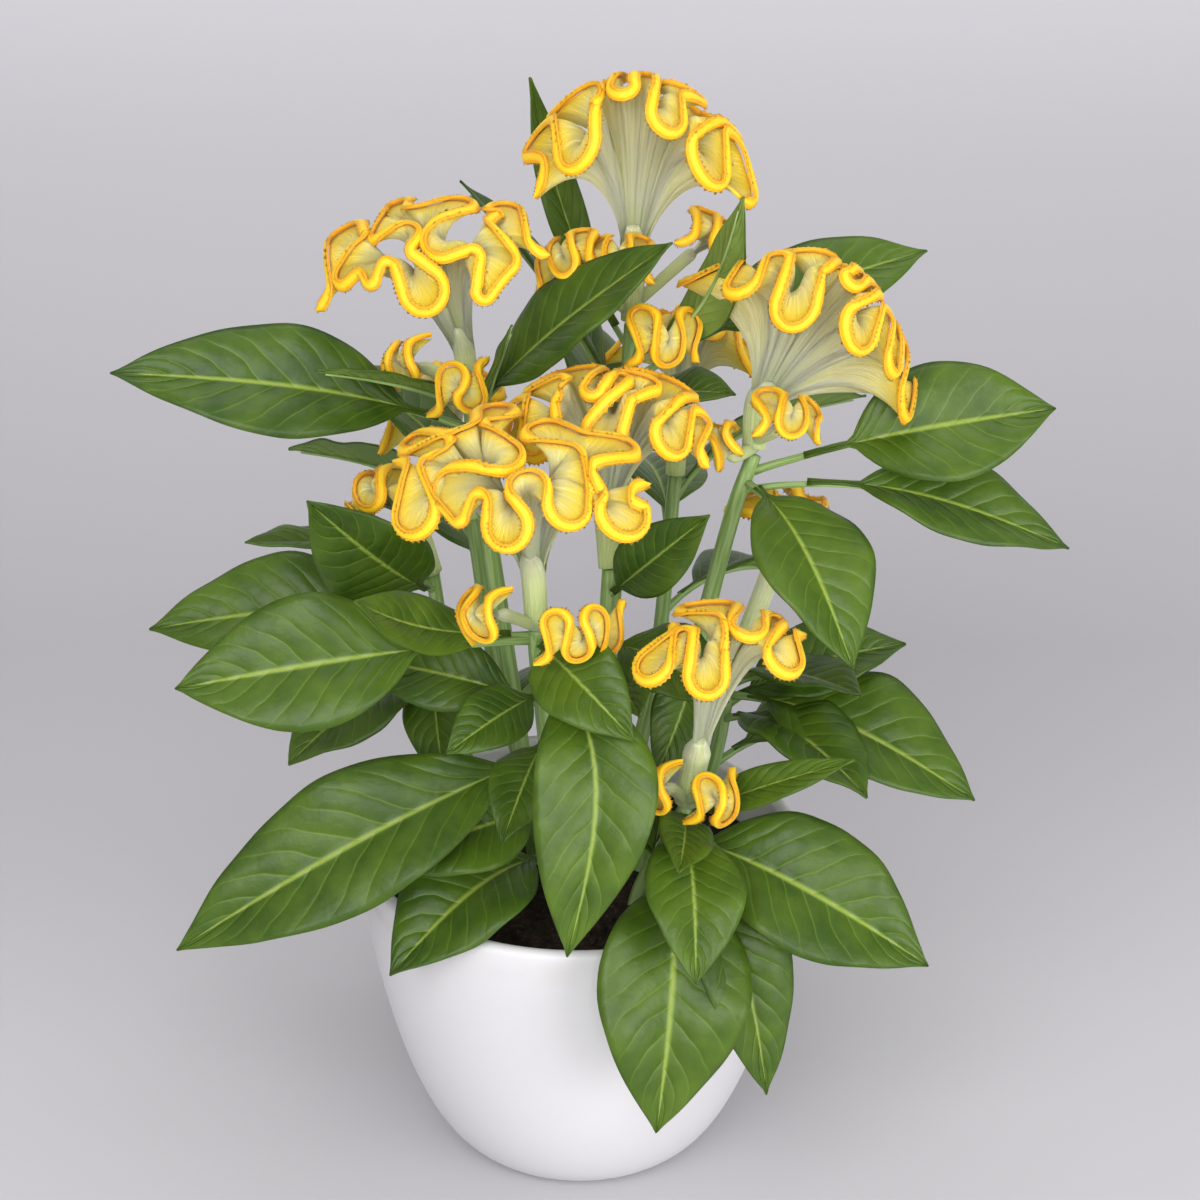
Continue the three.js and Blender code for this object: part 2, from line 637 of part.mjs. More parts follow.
// neck: where the fan begins. up: the way it grows. line: the crest's middle line,
// across and through the fan. folds: how many times the crest turns about that line,
// and swing is how far each fold stands out from it. from: how far up the bloom's stalk
// a further comb springs.
const LARGE = { neckRadius: 3.6, crestWidth: 3, arcSteps: 3, swing: 5, levels: LARGE_LEVELS };
const SMALL = {
  neckRadius: 2.1, crestWidth: 2.4, arcSteps: 3, swing: 2.4, height: 14, droop: 4, levels: SMALL_LEVELS,
};
const wide = (reach) => [[-reach, 0], [reach, 0]];
const BLOOMS = [
  {
    name: 'top', foot: [16, 19, 271.4],
    combs: [
      {
        ...LARGE, neck: [16, 24, 300], up: [0, -0.5, 1], folds: 10, height: 53, droop: 30, seed: 3,
        line: [[-32, -14], [-25, -5], [-13, 2], [0, 4], [13, 2], [25, -5], [32, -14]],
      },
      { ...SMALL, from: 0.3, neck: [1, 19, 281], up: [-0.6, -0.2, 0.9], line: wide(9), folds: 4, seed: 5 },
      { ...SMALL, from: 0.5, neck: [11, 15, 287], up: [-0.1, -0.45, 1], line: wide(10), folds: 4, seed: 6 },
      { ...SMALL, from: 0.5, neck: [33, 25, 289], up: [0.9, 0, 0.8], line: wide(9), folds: 4, seed: 7 },
      { ...SMALL, from: 0.05, neck: [23, 6, 269], up: [0.3, -0.9, 0.3], line: wide(10), folds: 4, seed: 8 },
    ],
  },
  {
    name: 'upper_left', foot: [-33, 15, 251.6],
    combs: [
      {
        ...LARGE, neck: [-35, 15, 270], up: [-0.35, -0.75, 1], folds: 10, height: 34, droop: 13, seed: 12,
        line: [[-34, 3], [-22, -3], [-6, -5], [10, -4], [23, 2]],
      },
      {
        ...LARGE, neck: [-34, 20, 272], up: [-0.1, -0.15, 1], folds: 8, height: 40, droop: 14, seed: 13,
        from: 0.9, line: [[-26, 0], [-12, 3], [2, 4], [16, 2], [28, -4]],
      },
      {
        ...SMALL, from: 0.3, neck: [-34, 3, 262], up: [0, -1, 0.3], line: wide(9), folds: 4, seed: 15,
        height: 10,
      },
      { ...SMALL, from: 0.1, neck: [-46, 16, 256], up: [-1, -0.4, 0.5], line: wide(9), folds: 4, seed: 16 },
    ],
  },
  {
    name: 'right', foot: [52, 0, 237.8],
    combs: [
      {
        ...LARGE, neck: [54, 6, 255], up: [0.5, -0.4, 1], folds: 9, height: 53, droop: 28, seed: 22,
        neckRadius: 4.2, line: [[-28, -4], [-17, 2], [-4, 5], [10, 3], [22, -4], [31, -15]],
      },
      { ...SMALL, from: 0.2, neck: [57, -9, 247], up: [0.4, -0.6, 0.8], line: wide(13), folds: 5, seed: 25 },
      { ...SMALL, from: 0.05, neck: [46, -8, 239], up: [-0.5, -0.4, 1], line: wide(6), folds: 3, seed: 26 },
    ],
  },
  {
    name: 'middle', foot: [9, -14, 205.6],
    combs: [
      {
        ...LARGE, neck: [11, -7, 232], up: [0.08, -0.55, 1], folds: 9, height: 39, droop: 14, seed: 31,
        line: [[-27, -8], [-18, 2], [-4, 6], [10, 3], [21, -4], [34, -7]],
      },
    ],
  },
  {
    name: 'front', foot: [-12, -39, 198.6],
    combs: [
      {
        ...LARGE, neck: [-13, -43, 221], up: [-0.1, -0.85, 1], folds: 11, height: 36, droop: 14, seed: 41,
        neckRadius: 4, line: [[-34, 3], [-20, -3], [0, -4], [20, -3], [36, 3]],
      },
      {
        ...LARGE, neck: [-18, -36, 223], up: [-0.3, -0.25, 1], folds: 7, height: 41, droop: 12, seed: 42,
        from: 0.9, line: [[-26, -5], [-13, 1], [0, 2], [14, 0], [20, -3]],
      },
      { ...SMALL, from: 0.3, neck: [-25, -48, 209], up: [-8, -7, 5], line: wide(7), folds: 3, seed: 45 },
      { ...SMALL, from: 0.3, neck: [2, -52, 207], up: [0.5, -0.8, 0.3], line: wide(12), folds: 5, seed: 46 },
    ],
  },
  {
    name: 'left', foot: [-45, 19, 188.6],
    combs: [
      {
        ...LARGE, neck: [-49, 17, 203], up: [-0.65, -0.6, 1], folds: 5, height: 30, droop: 9,
        seed: 51, line: [[-18, -4], [-10, 1], [0, 3], [10, 1], [18, -4]],
      },
    ],
  },
  {
    name: 'low_right', foot: [47, 16, 154.6],
    combs: [
      {
        ...LARGE, neck: [57, 16, 184], up: [0.25, -0.35, 1], folds: 6, height: 41, droop: 14, seed: 61,
        line: [[-19, -5], [-10, 0], [0, 2], [10, 0], [19, -5]],
      },
    ],
  },
  {
    name: 'front_right', foot: [32, -45, 143.4],
    combs: [
      {
        ...LARGE, neck: [35, -47, 166], up: [0.2, -0.6, 1], folds: 5, height: 46, droop: 10, seed: 71,
        line: [[-19, -5], [-7, 1], [6, 3], [19, -2]],
      },
      { ...SMALL, from: 0.4, neck: [26, -55, 155], up: [-8, -5, 5], line: wide(7), folds: 3, seed: 75 },
      { ...SMALL, from: 0.4, neck: [38, -57, 154], up: [0.3, -1, 0.3], line: wide(8), folds: 3, seed: 76 },
    ],
  },
  {
    name: 'back_right', foot: [30, 54, 205.6],
    combs: [
      {
        ...LARGE, neck: [31, 56, 222], up: [0.2, 0.5, 1], folds: 8, height: 36, droop: 14, seed: 81,
        line: [[-22, 5], [-11, -1], [0, -3], [11, -1], [22, 5]],
      },
    ],
  },
  {
    name: 'back_left', foot: [-34, 54, 190.6],
    combs: [
      {
        ...LARGE, neck: [-36, 56, 206], up: [-0.3, 0.5, 1], folds: 6, height: 34, droop: 13, seed: 94,
        line: [[-20, 4], [-10, 0], [0, -2], [10, 0], [20, 4]],
      },
    ],
  },
];

const plant = new THREE.Group();
plant.name = 'cockscomb_celosia';
plant.add(meshOf('pot', makePot(), COLOURS.pot, 0.45));
plant.add(meshOf('soil', makeSoil(STEMS), COLOURS.soil, 0.95));
STEMS.forEach((stem, i) => {
  plant.add(meshOf(`stem_${stem.name}`, makeStem(stem, i + 1), COLOURS.leaf, 0.5));
});
for (const bloom of BLOOMS) {
  plant.add(meshOf(`bloom_${bloom.name}`, makeBloom(bloom), COLOURS.flank, 0.7));
  bloom.combs.forEach((comb, i) => {
    plant.add(meshOf(`crest_${bloom.name}_${i + 1}`, makeCrest(comb), COLOURS.crest, 0.6));
  });
}

export default plant;
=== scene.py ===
import math

import bmesh
import bpy
from mathutils import Matrix, Vector, noise


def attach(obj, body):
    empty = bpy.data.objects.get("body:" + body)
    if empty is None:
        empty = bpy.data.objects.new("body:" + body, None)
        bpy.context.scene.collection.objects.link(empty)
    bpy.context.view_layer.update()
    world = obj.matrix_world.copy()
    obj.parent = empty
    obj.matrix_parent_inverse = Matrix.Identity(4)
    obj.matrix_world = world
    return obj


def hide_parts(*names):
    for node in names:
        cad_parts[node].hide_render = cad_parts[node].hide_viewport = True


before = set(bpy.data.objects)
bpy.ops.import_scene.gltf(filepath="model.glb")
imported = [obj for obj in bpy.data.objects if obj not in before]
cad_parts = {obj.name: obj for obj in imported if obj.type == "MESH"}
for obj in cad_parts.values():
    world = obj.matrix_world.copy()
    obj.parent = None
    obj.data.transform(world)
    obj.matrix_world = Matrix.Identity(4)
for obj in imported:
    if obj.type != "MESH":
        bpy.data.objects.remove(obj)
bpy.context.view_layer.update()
noise.seed_set(1)              # noise_vector's offsets would come from the clock

# ---- Driving dimensions, in millimetres ----
MM = 0.001
POT_RADIUS = 70.0
POT_HEIGHT = 105.2
POT_WALL = 4.8
POT_FOOT_RADIUS = 33.3
SOIL_DEPTH = 15.0
SOIL_CROWN = 3.0
SOIL_TOP = POT_HEIGHT - SOIL_DEPTH
STEM_HOLE_DEPTH = 16.0
STEM_TAPER = 0.28
POT_SIDES = 128
FOOT_HANDLE = (17.8, 4.8)      # the wall's Bezier handle, out and up from the foot
RIM_HANDLE = (6.1, 50.3)       # and in from the rim, at that height
SOIL_SIDES = 120
CRUMBS = 260
CRUMB_SIZE = 1.3               # a crumb's radius, give or take CRUMB_SPREAD
CRUMB_SPREAD = 0.8
STREAK_LENGTH = 10.0           # the length of a stem that one unit of its UV covers
CURVE_SAMPLES = 200

# Combs: the form from the neck (0) up to the crest (1)
FOLD_ROUNDNESS = 0.62
DRIFT_REACH = 3                # how many pegs each way the fan's own line averages
MIN_PEG = 1.2
ARC_SHARE = 0.9
BEND_REACH = 0.04
END_CURL = 1.9
NECK_SHARE = 0.12
FAN_POWER = 1.25
FOLD_POWER = 4.0
DOME_POWER = 1.9
DOME_DEPTH = 1.5
RISE_STEP = 0.08
RIBBON_LEAN = 1.5              # how much the ribbon leans from the dome's normal to its sheet's rise
LIP_DROP = 0.28                # how far a fold's lip turns down, for each millimetre that it reaches out
LIP_POWER = 9.0
FAN_THICKNESS = 1.1
LARGE_SWING = 6.0              # how far a large comb's pegs stand from their line
LARGE_WIDTH = 3.4              # the width of the ribbon, on each kind of comb
PLACED_WIDTH = 3.5
SMALL_WIDTH = 2.6
LARGE_NECK = 3.6               # the neck's radius
SMALL_NECK = 2.1
SMALL_DROOP = 4.0
MAIN_RISE = 10                 # how far a stalk runs on inside its fan
SMALL_RISE = 5
STALK_SIDES = 14
ARC_STEPS = 14
RUN_STEPS = 5
FAN_ROWS = 22
ROW_CROWDING = 1.3             # how much closer a fan's rows lie towards the crest

# The ribbon along a comb's crest
CREST_PROFILE = 16             # points round its section
RIBBON_LIFT = 1.1              # from the fan's edge up to the middle of its thickness
RIBBON_HALF_THICKNESS = 0.55
RIDGE_HEIGHT = 0.45
RIDGE_SPREAD = 0.05            # places on the section are shares of the way round it
DISH_DEPTH = 0.3
DISH_PLACE = 0.12
DISH_SPREAD = 0.06
TAPERED_COLUMNS = 5            # the columns over which a ribbon's end narrows
BRISTLE_ROWS = ((3, 5.5), (10.5, 13))
BRISTLE_LENGTHS = (0.35, 0.6, 0.9)
BRISTLE_ROOT = 0.14
BRISTLE_SCATTER = 0.25

# Leaves
LEAF_FOLD = 0.42
LEAF_CURL = 0.2
LEAF_WAVE = 0.08
LEAF_THICKNESS = 0.7
LEAF_COLUMNS = 16
LEAF_ROW = 2.2                 # the length of one row of a blade's mesh
LEAF_RIPPLE = 0.35             # the fine ripple along a blade's edge
LEAF_PUFF = 0.3                # the quilting between its side veins
LEAF_START = 0.55              # where its mesh starts, as a share of its stalk
MIDRIB_SINK = 0.7              # how far its midrib lies under the blade
SMALL_LEAF = 20                # a blade no wider than this has fewer waves
LARGE_LEAF = 41                # and one wider than this has more


# ---- Small helpers ----
def mix(a, b, t):
    return a + (b - a) * t


def clamp(t):
    return min(1.0, max(0.0, t))


def draw(seed):
    """A repeatable draw between -1 and 1."""
    x = math.sin(seed * 127.1 + 311.7) * 43758.5453
    return 2 * (x - math.floor(x)) - 1


class SmoothCurve:
    """A Catmull-Rom curve through its points."""

    def __init__(self, points):
        inner = [Vector(p) for p in points]
        first = 2 * inner[0] - inner[1]
        last = 2 * inner[-1] - inner[-2]
        self.points = [first, *inner, last]
        self.lengths = [0.0]
        spots = [self.point(i / CURVE_SAMPLES) for i in range(CURVE_SAMPLES + 1)]
        for before, after in zip(spots, spots[1:]):
            self.lengths.append(self.lengths[-1] + (after - before).length)

    def point(self, t):
        spans = len(self.points) - 3
        place = clamp(t) * spans
        i = min(int(place), spans - 1)
        w = place - i
        a, b, c, d = self.points[i:i + 4]
        start = (c - a) * 0.5
        end = (d - b) * 0.5
        rise = c - b
        return b + start * w + (3 * rise - 2 * start - end) * w ** 2 + (start + end - 2 * rise) * w ** 3

    def tangent(self, t):
        step = 0.001
        return (self.point(min(1, t + step)) - self.point(max(0, t - step))).normalized()

    def even(self, share):
        """The curve's parameter at that share of its length."""
        target = clamp(share) * self.lengths[-1]
        low = 0
        high = len(self.lengths) - 1
        while high - low > 1:
            middle = (low + high) // 2
            if self.lengths[middle] < target:
                low = middle
            else:
                high = middle
        span = max(1e-9, self.lengths[high] - self.lengths[low])
        return (low + (target - self.lengths[low]) / span) / (len(self.lengths) - 1)

    @property
    def length(self):
        return self.lengths[-1]


# ---- Mesh building ----
def new_bmesh():
    bm = bmesh.new()
    bm.loops.layers.uv.new("UVMap")
    bm.verts.layers.float.new("tone")
    bm.verts.layers.float_vector.new("push")
    return bm


def grid(bm, columns, rows):
    """A flat grid whose points are listed with their column and row."""
    made = bmesh.ops.create_grid(bm, x_segments=columns, y_segments=rows, size=0.5, calc_uvs=True)
    return [
        (vert, round((vert.co.x + 0.5) * columns), round((vert.co.y + 0.5) * rows))
        for vert in made["verts"]
    ]


def faces_of(verts):
    """The faces at these points, in an order that is the same on every run."""
    return list(dict.fromkeys(face for vert in verts for face in vert.link_faces))


def stretch_uv(bm, faces, across, along):
    layer = bm.loops.layers.uv["UVMap"]
    for face in faces:
        for loop in face.loops:
            loop[layer].uv.x *= across
            loop[layer].uv.y *= along


def close_tube(bm, verts):
    """Sews the seam of a rolled grid and caps its two open ends."""
    bmesh.ops.remove_doubles(bm, verts=verts, dist=1e-4)
    left = [vert for vert in verts if vert.is_valid]
    touching = (edge for vert in left for edge in vert.link_edges)
    edges = list(dict.fromkeys(edge for edge in touching if edge.is_boundary))
    bmesh.ops.holes_fill(bm, edges=edges, sides=0)
    bmesh.ops.recalc_face_normals(bm, faces=faces_of(left))
    return left


def add_tube(bm, curve, radius_at, rings, sides, end=1.0):
    """A round tapering tube along a curve, closed at both ends. Returns its points."""
    frames = []
    side = Vector((1, 0, 0))
    for i in range(rings + 1):
        t = end * (i / rings)
        along = curve.tangent(t)
        side = (side - along * side.dot(along)).normalized()
        frames.append((curve.point(t), side, along.cross(side), radius_at(t)))
    cells = grid(bm, sides, rings)
    for vert, column, row in cells:
        centre, one, other, radius = frames[row]
        turn = 2 * math.pi * column / sides
        vert.co = centre + (one * math.cos(turn) + other * math.sin(turn)) * radius
    verts = [cell[0] for cell in cells]
    stretch_uv(bm, faces_of(verts), 1, curve.length * end / STREAK_LENGTH)
    return close_tube(bm, verts)


def thicken(bm, verts, thickness, under):
    """Gives a sheet two faces, half the thickness to each side. under is the back's material."""
    bm.normal_update()
    push = bm.verts.layers.float_vector["push"]
    faces = faces_of(verts)
    for vert in verts:
        vert[push] = vert.normal * thickness
        vert.co -= vert.normal * thickness / 2
    made = bmesh.ops.extrude_face_region(bm, geom=faces, use_keep_orig=True)["geom"]
    for item in made:
        if isinstance(item, bmesh.types.BMVert):
            item.co += item[push]
    for face in faces:
        face.material_index = under


def finish_piece(name, bm, materials, nodes, smooth=True):
    """Turns a bmesh in millimetres into a piece in metres that stands for its CAD nodes."""
    bm.verts.layers.float_vector.remove(bm.verts.layers.float_vector["push"])
    bmesh.ops.scale(bm, vec=(MM, MM, MM), verts=bm.verts)
    mesh = bpy.data.meshes.new(name)
    bm.to_mesh(mesh)
    bm.free()
    for material in materials:
        mesh.materials.append(material)
    if smooth:
        mesh.shade_smooth()
    piece = bpy.data.objects.new(name, mesh)
    bpy.context.scene.collection.objects.link(piece)
    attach(piece, "root")
    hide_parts(*nodes)


# ---- Material building ----
def add_node(tree, kind, inputs=None, **settings):
    node = tree.nodes.new(kind)
    for name, value in settings.items():
        setattr(node, name, value)
    for name, value in (inputs or {}).items():
        if isinstance(value, bpy.types.NodeSocket):
            tree.links.new(value, node.inputs[name])
        else:
            node.inputs[name].default_value = value
    return node


def calc(tree, operation, a, b=0.0):
    return add_node(tree, "ShaderNodeMath", {0: a, 1: b}, operation=operation).outputs[0]


def remap(tree, value, low, high, to_low=0.0, to_high=1.0):
    inputs = {"Value": value, "From Min": low, "From Max": high, "To Min": to_low, "To Max": to_high}
    node = add_node(tree, "ShaderNodeMapRange", inputs, interpolation_type="SMOOTHSTEP")
    return node.outputs["Result"]


def tint(tree, factor, a, b):
    """Goes from colour a to colour b."""
    node = add_node(tree, "ShaderNodeMix", data_type="RGBA")
    for socket, value in ((0, factor), (6, a), (7, b)):
        if isinstance(value, bpy.types.NodeSocket):
            tree.links.new(value, node.inputs[socket])
        else:
            node.inputs[socket].default_value = value if socket == 0 else (*value, 1)
    return node.outputs[2]


def ramp(tree, value, stops):
    node = add_node(tree, "ShaderNodeValToRGB", {"Fac": value})
    band = node.color_ramp
    while len(band.elements) < len(stops):
        band.elements.new(0.5)
    for element, (place, colour) in zip(band.elements, stops):
        element.position = place
        element.color = (*colour, 1)
    return node.outputs["Color"]


def noise_of(tree, vector, scale, detail=2.0, roughness=0.5):
    inputs = {"Vector": vector, "Scale": scale, "Detail": detail, "Roughness": roughness}
    return add_node(tree, "ShaderNodeTexNoise", inputs).outputs["Fac"]


def bump(tree, height, distance, strength=1.0, normal=None):
    inputs = {"Height": height, "Distance": distance, "Strength": strength}
    if normal:
        inputs["Normal"] = normal
    return add_node(tree, "ShaderNodeBump", inputs).outputs["Normal"]


def new_group(name, inputs, outputs):
    """A shader node group. Returns its tree and its input and output nodes."""
    tree = bpy.data.node_groups.new(name, "ShaderNodeTree")
    for label, kind, value in inputs:
        socket = tree.interface.new_socket(name=label, in_out="INPUT", socket_type=kind)
        if value is not None:
            socket.default_value = value
    for label in outputs:
        tree.interface.new_socket(name=label, in_out="OUTPUT", socket_type="NodeSocketFloat")
    return tree, tree.nodes.new("NodeGroupInput"), tree.nodes.new("NodeGroupOutput")


def new_material(name, **shader):
    """A material and its Principled shader, with the given plain values."""
    material = bpy.data.materials.new(name)
    material.use_nodes = True
    tree = material.node_tree
    principled = tree.nodes["Principled BSDF"]
    for label, value in shader.items():
        principled.inputs[label.replace("_", " ")].default_value = value
    return material, tree, principled


def feed(tree, principled, **sockets):
    for label, socket in sockets.items():
        tree.links.new(socket, principled.inputs[label.replace("_", " ")])


def uv_of(tree):
    return add_node(tree, "ShaderNodeUVMap", uv_map="UVMap").outputs["UV"]


def object_of(tree):
    return add_node(tree, "ShaderNodeTexCoord").outputs["Object"]


def scaled(tree, vector, x, y, z=1.0):
    return add_node(tree, "ShaderNodeMapping", {"Vector": vector, "Scale": (x, y, z)}).outputs["Vector"]


def make_leaf_veins():
    """Midrib, curved side veins and the quilting between them, on a blade's own UV."""
    tree, given, out = new_group(
        "leaf_veins",
        [
            ("Vector", "NodeSocketVector", None),
            ("Pairs", "NodeSocketFloat", 11.0),
            ("Sweep", "NodeSocketFloat", 2.4),
        ],
        ["Midrib", "Veins", "Quilt"],
    )
    split = add_node(tree, "ShaderNodeSeparateXYZ", {0: given.outputs["Vector"]})
    centred = calc(tree, "SUBTRACT", calc(tree, "MULTIPLY", split.outputs["X"], 2.0), 1.0)
    across = calc(tree, "ABSOLUTE", centred)
    side = calc(tree, "MULTIPLY", calc(tree, "GREATER_THAN", centred, 0.0), 0.45)
    wander = noise_of(tree, scaled(tree, given.outputs["Vector"], 2.0, 5.0), 1.0)
    phase = calc(tree, "MULTIPLY", split.outputs["Y"], given.outputs["Pairs"])
    phase = calc(tree, "SUBTRACT", phase, calc(tree, "MULTIPLY", across, given.outputs["Sweep"]))
    phase = calc(tree, "ADD", phase, side)
    phase = calc(tree, "ADD", phase, calc(tree, "MULTIPLY", wander, 0.9))
    near = calc(tree, "ABSOLUTE", calc(tree, "SUBTRACT", calc(tree, "FRACT", phase), 0.5))
    near = calc(tree, "MULTIPLY", near, 2.0)
    fade = calc(tree, "SUBTRACT", 1.0, calc(tree, "POWER", across, 3.0))
    veins = calc(tree, "MULTIPLY", remap(tree, near, 0.84, 1.0), fade)
    tree.links.new(remap(tree, across, 0.0, 0.07, 1.0, 0.0), out.inputs["Midrib"])
    tree.links.new(veins, out.inputs["Veins"])
    quilt = calc(tree, "SUBTRACT", 1.0, calc(tree, "MULTIPLY", calc(tree, "POWER", near, 2.5), fade))
    tree.links.new(quilt, out.inputs["Quilt"])
    return tree


def make_fibres():
    """Fine streaks that run up a comb: x is the place along it and y the rise."""
    tree, given, out = new_group(
        "comb_fibres",
        [("Vector", "NodeSocketVector", None), ("Fineness", "NodeSocketFloat", 1.0)],
        ["Fine", "Broad"],
    )
    stretched = scaled(tree, given.outputs["Vector"], 3.4, 2.0)
    fine = noise_of(tree, stretched, given.outputs["Fineness"], 3.0, 0.6)
    broad = noise_of(tree, scaled(tree, given.outputs["Vector"], 0.3, 1.4), 1.0, 1.0)
    tree.links.new(remap(tree, fine, 0.36, 0.66), out.inputs["Fine"])
    tree.links.new(remap(tree, broad, 0.3, 0.7), out.inputs["Broad"])
    return tree


leaf_veins = make_leaf_veins()
comb_fibres = make_fibres()


def leaf_material(name, dark, light, vein, midrib, roughness, relief):
    """A blade's face: green mottling, paler veins, and quilting between the side veins."""
    material, tree, principled = new_material(
        name, Roughness=roughness, Subsurface_Weight=0.12, Subsurface_Scale=0.002,
        Subsurface_Radius=(0.5, 1.0, 0.2), Specular_IOR_Level=0.35,
    )
    pattern = add_node(tree, "ShaderNodeGroup", {}, node_tree=leaf_veins)
    tree.links.new(uv_of(tree), pattern.inputs["Vector"])
    tone = add_node(tree, "ShaderNodeAttribute", attribute_name="tone").outputs["Fac"]
    mottle = noise_of(tree, object_of(tree), 90.0, 3.0)
    shade = calc(tree, "ADD", remap(tree, mottle, 0.25, 0.75, 0.0, 0.6), calc(tree, "MULTIPLY", tone, 0.4))
    colour = tint(tree, shade, dark, light)
    colour = tint(tree, calc(tree, "MULTIPLY", pattern.outputs["Veins"], 0.5), colour, vein)
    colour = tint(tree, calc(tree, "MULTIPLY", pattern.outputs["Midrib"], 0.9), colour, midrib)
    grain = noise_of(tree, object_of(tree), 320.0, 3.0)
    surface = bump(tree, grain, 0.0004, 0.6)
    surface = bump(tree, pattern.outputs["Quilt"], 0.0004 * relief, 0.8, surface)
    feed(tree, principled, Base_Color=colour, Normal=surface)
    return material


def flank_material():
    """The comb's sheet: silky and pale at the neck, yellow at the crest. Darker fibre streaks run through
    it; their olive in the middle of the rise is painted shade of the folds' depths.
    """
    material, tree, principled = new_material(
        "comb_flank", Roughness=0.55, Subsurface_Weight=0.4, Subsurface_Scale=0.006,
        Subsurface_Radius=(1.0, 0.85, 0.3), Sheen_Weight=0.25, Sheen_Roughness=0.35,
    )
    uv = uv_of(tree)
    fibres = add_node(tree, "ShaderNodeGroup", {"Fineness": 1.0}, node_tree=comb_fibres)
    tree.links.new(uv, fibres.inputs["Vector"])
    rise = add_node(tree, "ShaderNodeSeparateXYZ", {0: uv}).outputs["Y"]
    pale = ramp(tree, rise, [
        (0.0, (0.7, 0.84, 0.36)), (0.16, (0.94, 0.97, 0.66)), (0.36, (0.96, 0.96, 0.6)),
        (0.6, (0.96, 0.94, 0.58)), (0.78, (0.97, 0.9, 0.4)), (0.93, (1.0, 0.76, 0.07)),
        (1.0, (1.0, 0.58, 0.005)),
    ])
    # Streak colour: the fibres' own darker tone, with olive in the middle of the rise that is painted shade
    # of the folds' depths.
    streaks_and_painted_shade = ramp(tree, rise, [
        (0.0, (0.5, 0.66, 0.16)), (0.16, (0.66, 0.76, 0.26)), (0.36, (0.52, 0.5, 0.06)),
        (0.62, (0.66, 0.52, 0.03)), (0.78, (0.9, 0.68, 0.05)), (0.92, (1.0, 0.62, 0.01)),
        (1.0, (1.0, 0.52, 0.0)),
    ])
    share = calc(tree, "MULTIPLY", fibres.outputs["Fine"], 0.5)
    share = calc(tree, "ADD", share, calc(tree, "MULTIPLY", fibres.outputs["Broad"], 0.3))
    feed(tree, principled, Base_Color=tint(tree, share, pale, streaks_and_painted_shade),
         Normal=bump(tree, fibres.outputs["Fine"], 0.0005, 0.8))
    return material


def crest_material():
    """The velvety ribbon: golden, lighter along its middle ridge and more orange at its edges."""
    material, tree, principled = new_material(
        "crest_velvet", Roughness=0.6, Subsurface_Weight=0.3, Subsurface_Scale=0.002,
        Subsurface_Radius=(1.0, 0.6, 0.1), Sheen_Weight=0.06, Sheen_Roughness=0.5,
    )
    uv = uv_of(tree)
    around = add_node(tree, "ShaderNodeSeparateXYZ", {0: uv}).outputs["Y"]
    out = calc(tree, "MULTIPLY", calc(tree, "ABSOLUTE", calc(tree, "SUBTRACT", around, 0.5)), 2.0)
    band = ramp(tree, out, [
        (0.0, (1.0, 0.66, 0.012)), (0.09, (1.0, 0.6, 0.006)), (0.17, (0.98, 0.4, 0.0)),
        (0.38, (1.0, 0.48, 0.001)), (0.52, (0.9, 0.33, 0.0)), (0.66, (0.92, 0.45, 0.008)),
        (1.0, (0.95, 0.6, 0.05)),
    ])
    mottle = remap(tree, noise_of(tree, object_of(tree), 700.0, 2.0), 0.3, 0.7, 0.0, 0.25)
    colour = tint(tree, mottle, band, (1.0, 0.55, 0.004))
    feed(tree, principled, Base_Color=colour, Normal=bump(tree, mottle, 0.0004, 0.5))
    return material


def stem_material():
    material, tree, principled = new_material("stem_skin", Roughness=0.5, Specular_IOR_Level=0.4)
    uv = uv_of(tree)
    streaks = noise_of(tree, scaled(tree, uv, 14.0, 0.5), 1.0, 2.0)
    colour = tint(tree, remap(tree, streaks, 0.3, 0.7), (0.16, 0.27, 0.06), (0.32, 0.45, 0.17))
    feed(tree, principled, Base_Color=colour, Normal=bump(tree, streaks, 0.0003, 0.6))
    return material


def pot_material():
    """Matt white, with a faint watery stain just below the rim."""
    material, tree, principled = new_material("pot_white", Roughness=0.42, Specular_IOR_Level=0.4)
    place = object_of(tree)
    height = add_node(tree, "ShaderNodeSeparateXYZ", {0: place}).outputs["Z"]
    under_rim = calc(tree, "ABSOLUTE", calc(tree, "SUBTRACT", height, 0.098))
    stain = remap(tree, noise_of(tree, place, 45.0, 3.0), 0.45, 0.75)
    stain = calc(tree, "MULTIPLY", stain, remap(tree, under_rim, 0.0, 0.006, 0.5, 0.0))
    colour = tint(tree, stain, (0.7, 0.69, 0.705), (0.58, 0.53, 0.48))
    grain = noise_of(tree, place, 1400.0, 2.0)
    feed(tree, principled, Base_Color=colour, Normal=bump(tree, grain, 0.00005, 0.4))
    return material


def soil_material():
    material, tree, principled = new_material("potting_soil", Roughness=0.95, Specular_IOR_Level=0.2)
    place = object_of(tree)
    crumbs = noise_of(tree, place, 420.0, 6.0, 0.7)
    colour = ramp(tree, crumbs, [
        (0.3, (0.006, 0.005, 0.004)), (0.55, (0.03, 0.02, 0.014)), (0.72, (0.09, 0.06, 0.035)),
    ])
    feed(tree, principled, Base_Color=colour, Normal=bump(tree, crumbs, 0.0015, 0.9))
    return material


LEAF_FACE = leaf_material(
    "leaf_face", (0.024, 0.062, 0.003), (0.08, 0.145, 0.008), (0.14, 0.24, 0.02), (0.28, 0.38, 0.06),
    roughness=0.42, relief=1.0,
)
LEAF_UNDER = leaf_material(
    "leaf_underside", (0.12, 0.2, 0.035), (0.19, 0.28, 0.06), (0.22, 0.32, 0.08), (0.33, 0.42, 0.12),
    roughness=0.55, relief=-1.0,
)
STEM_SKIN = stem_material()
FLANK = flank_material()
CREST = crest_material()


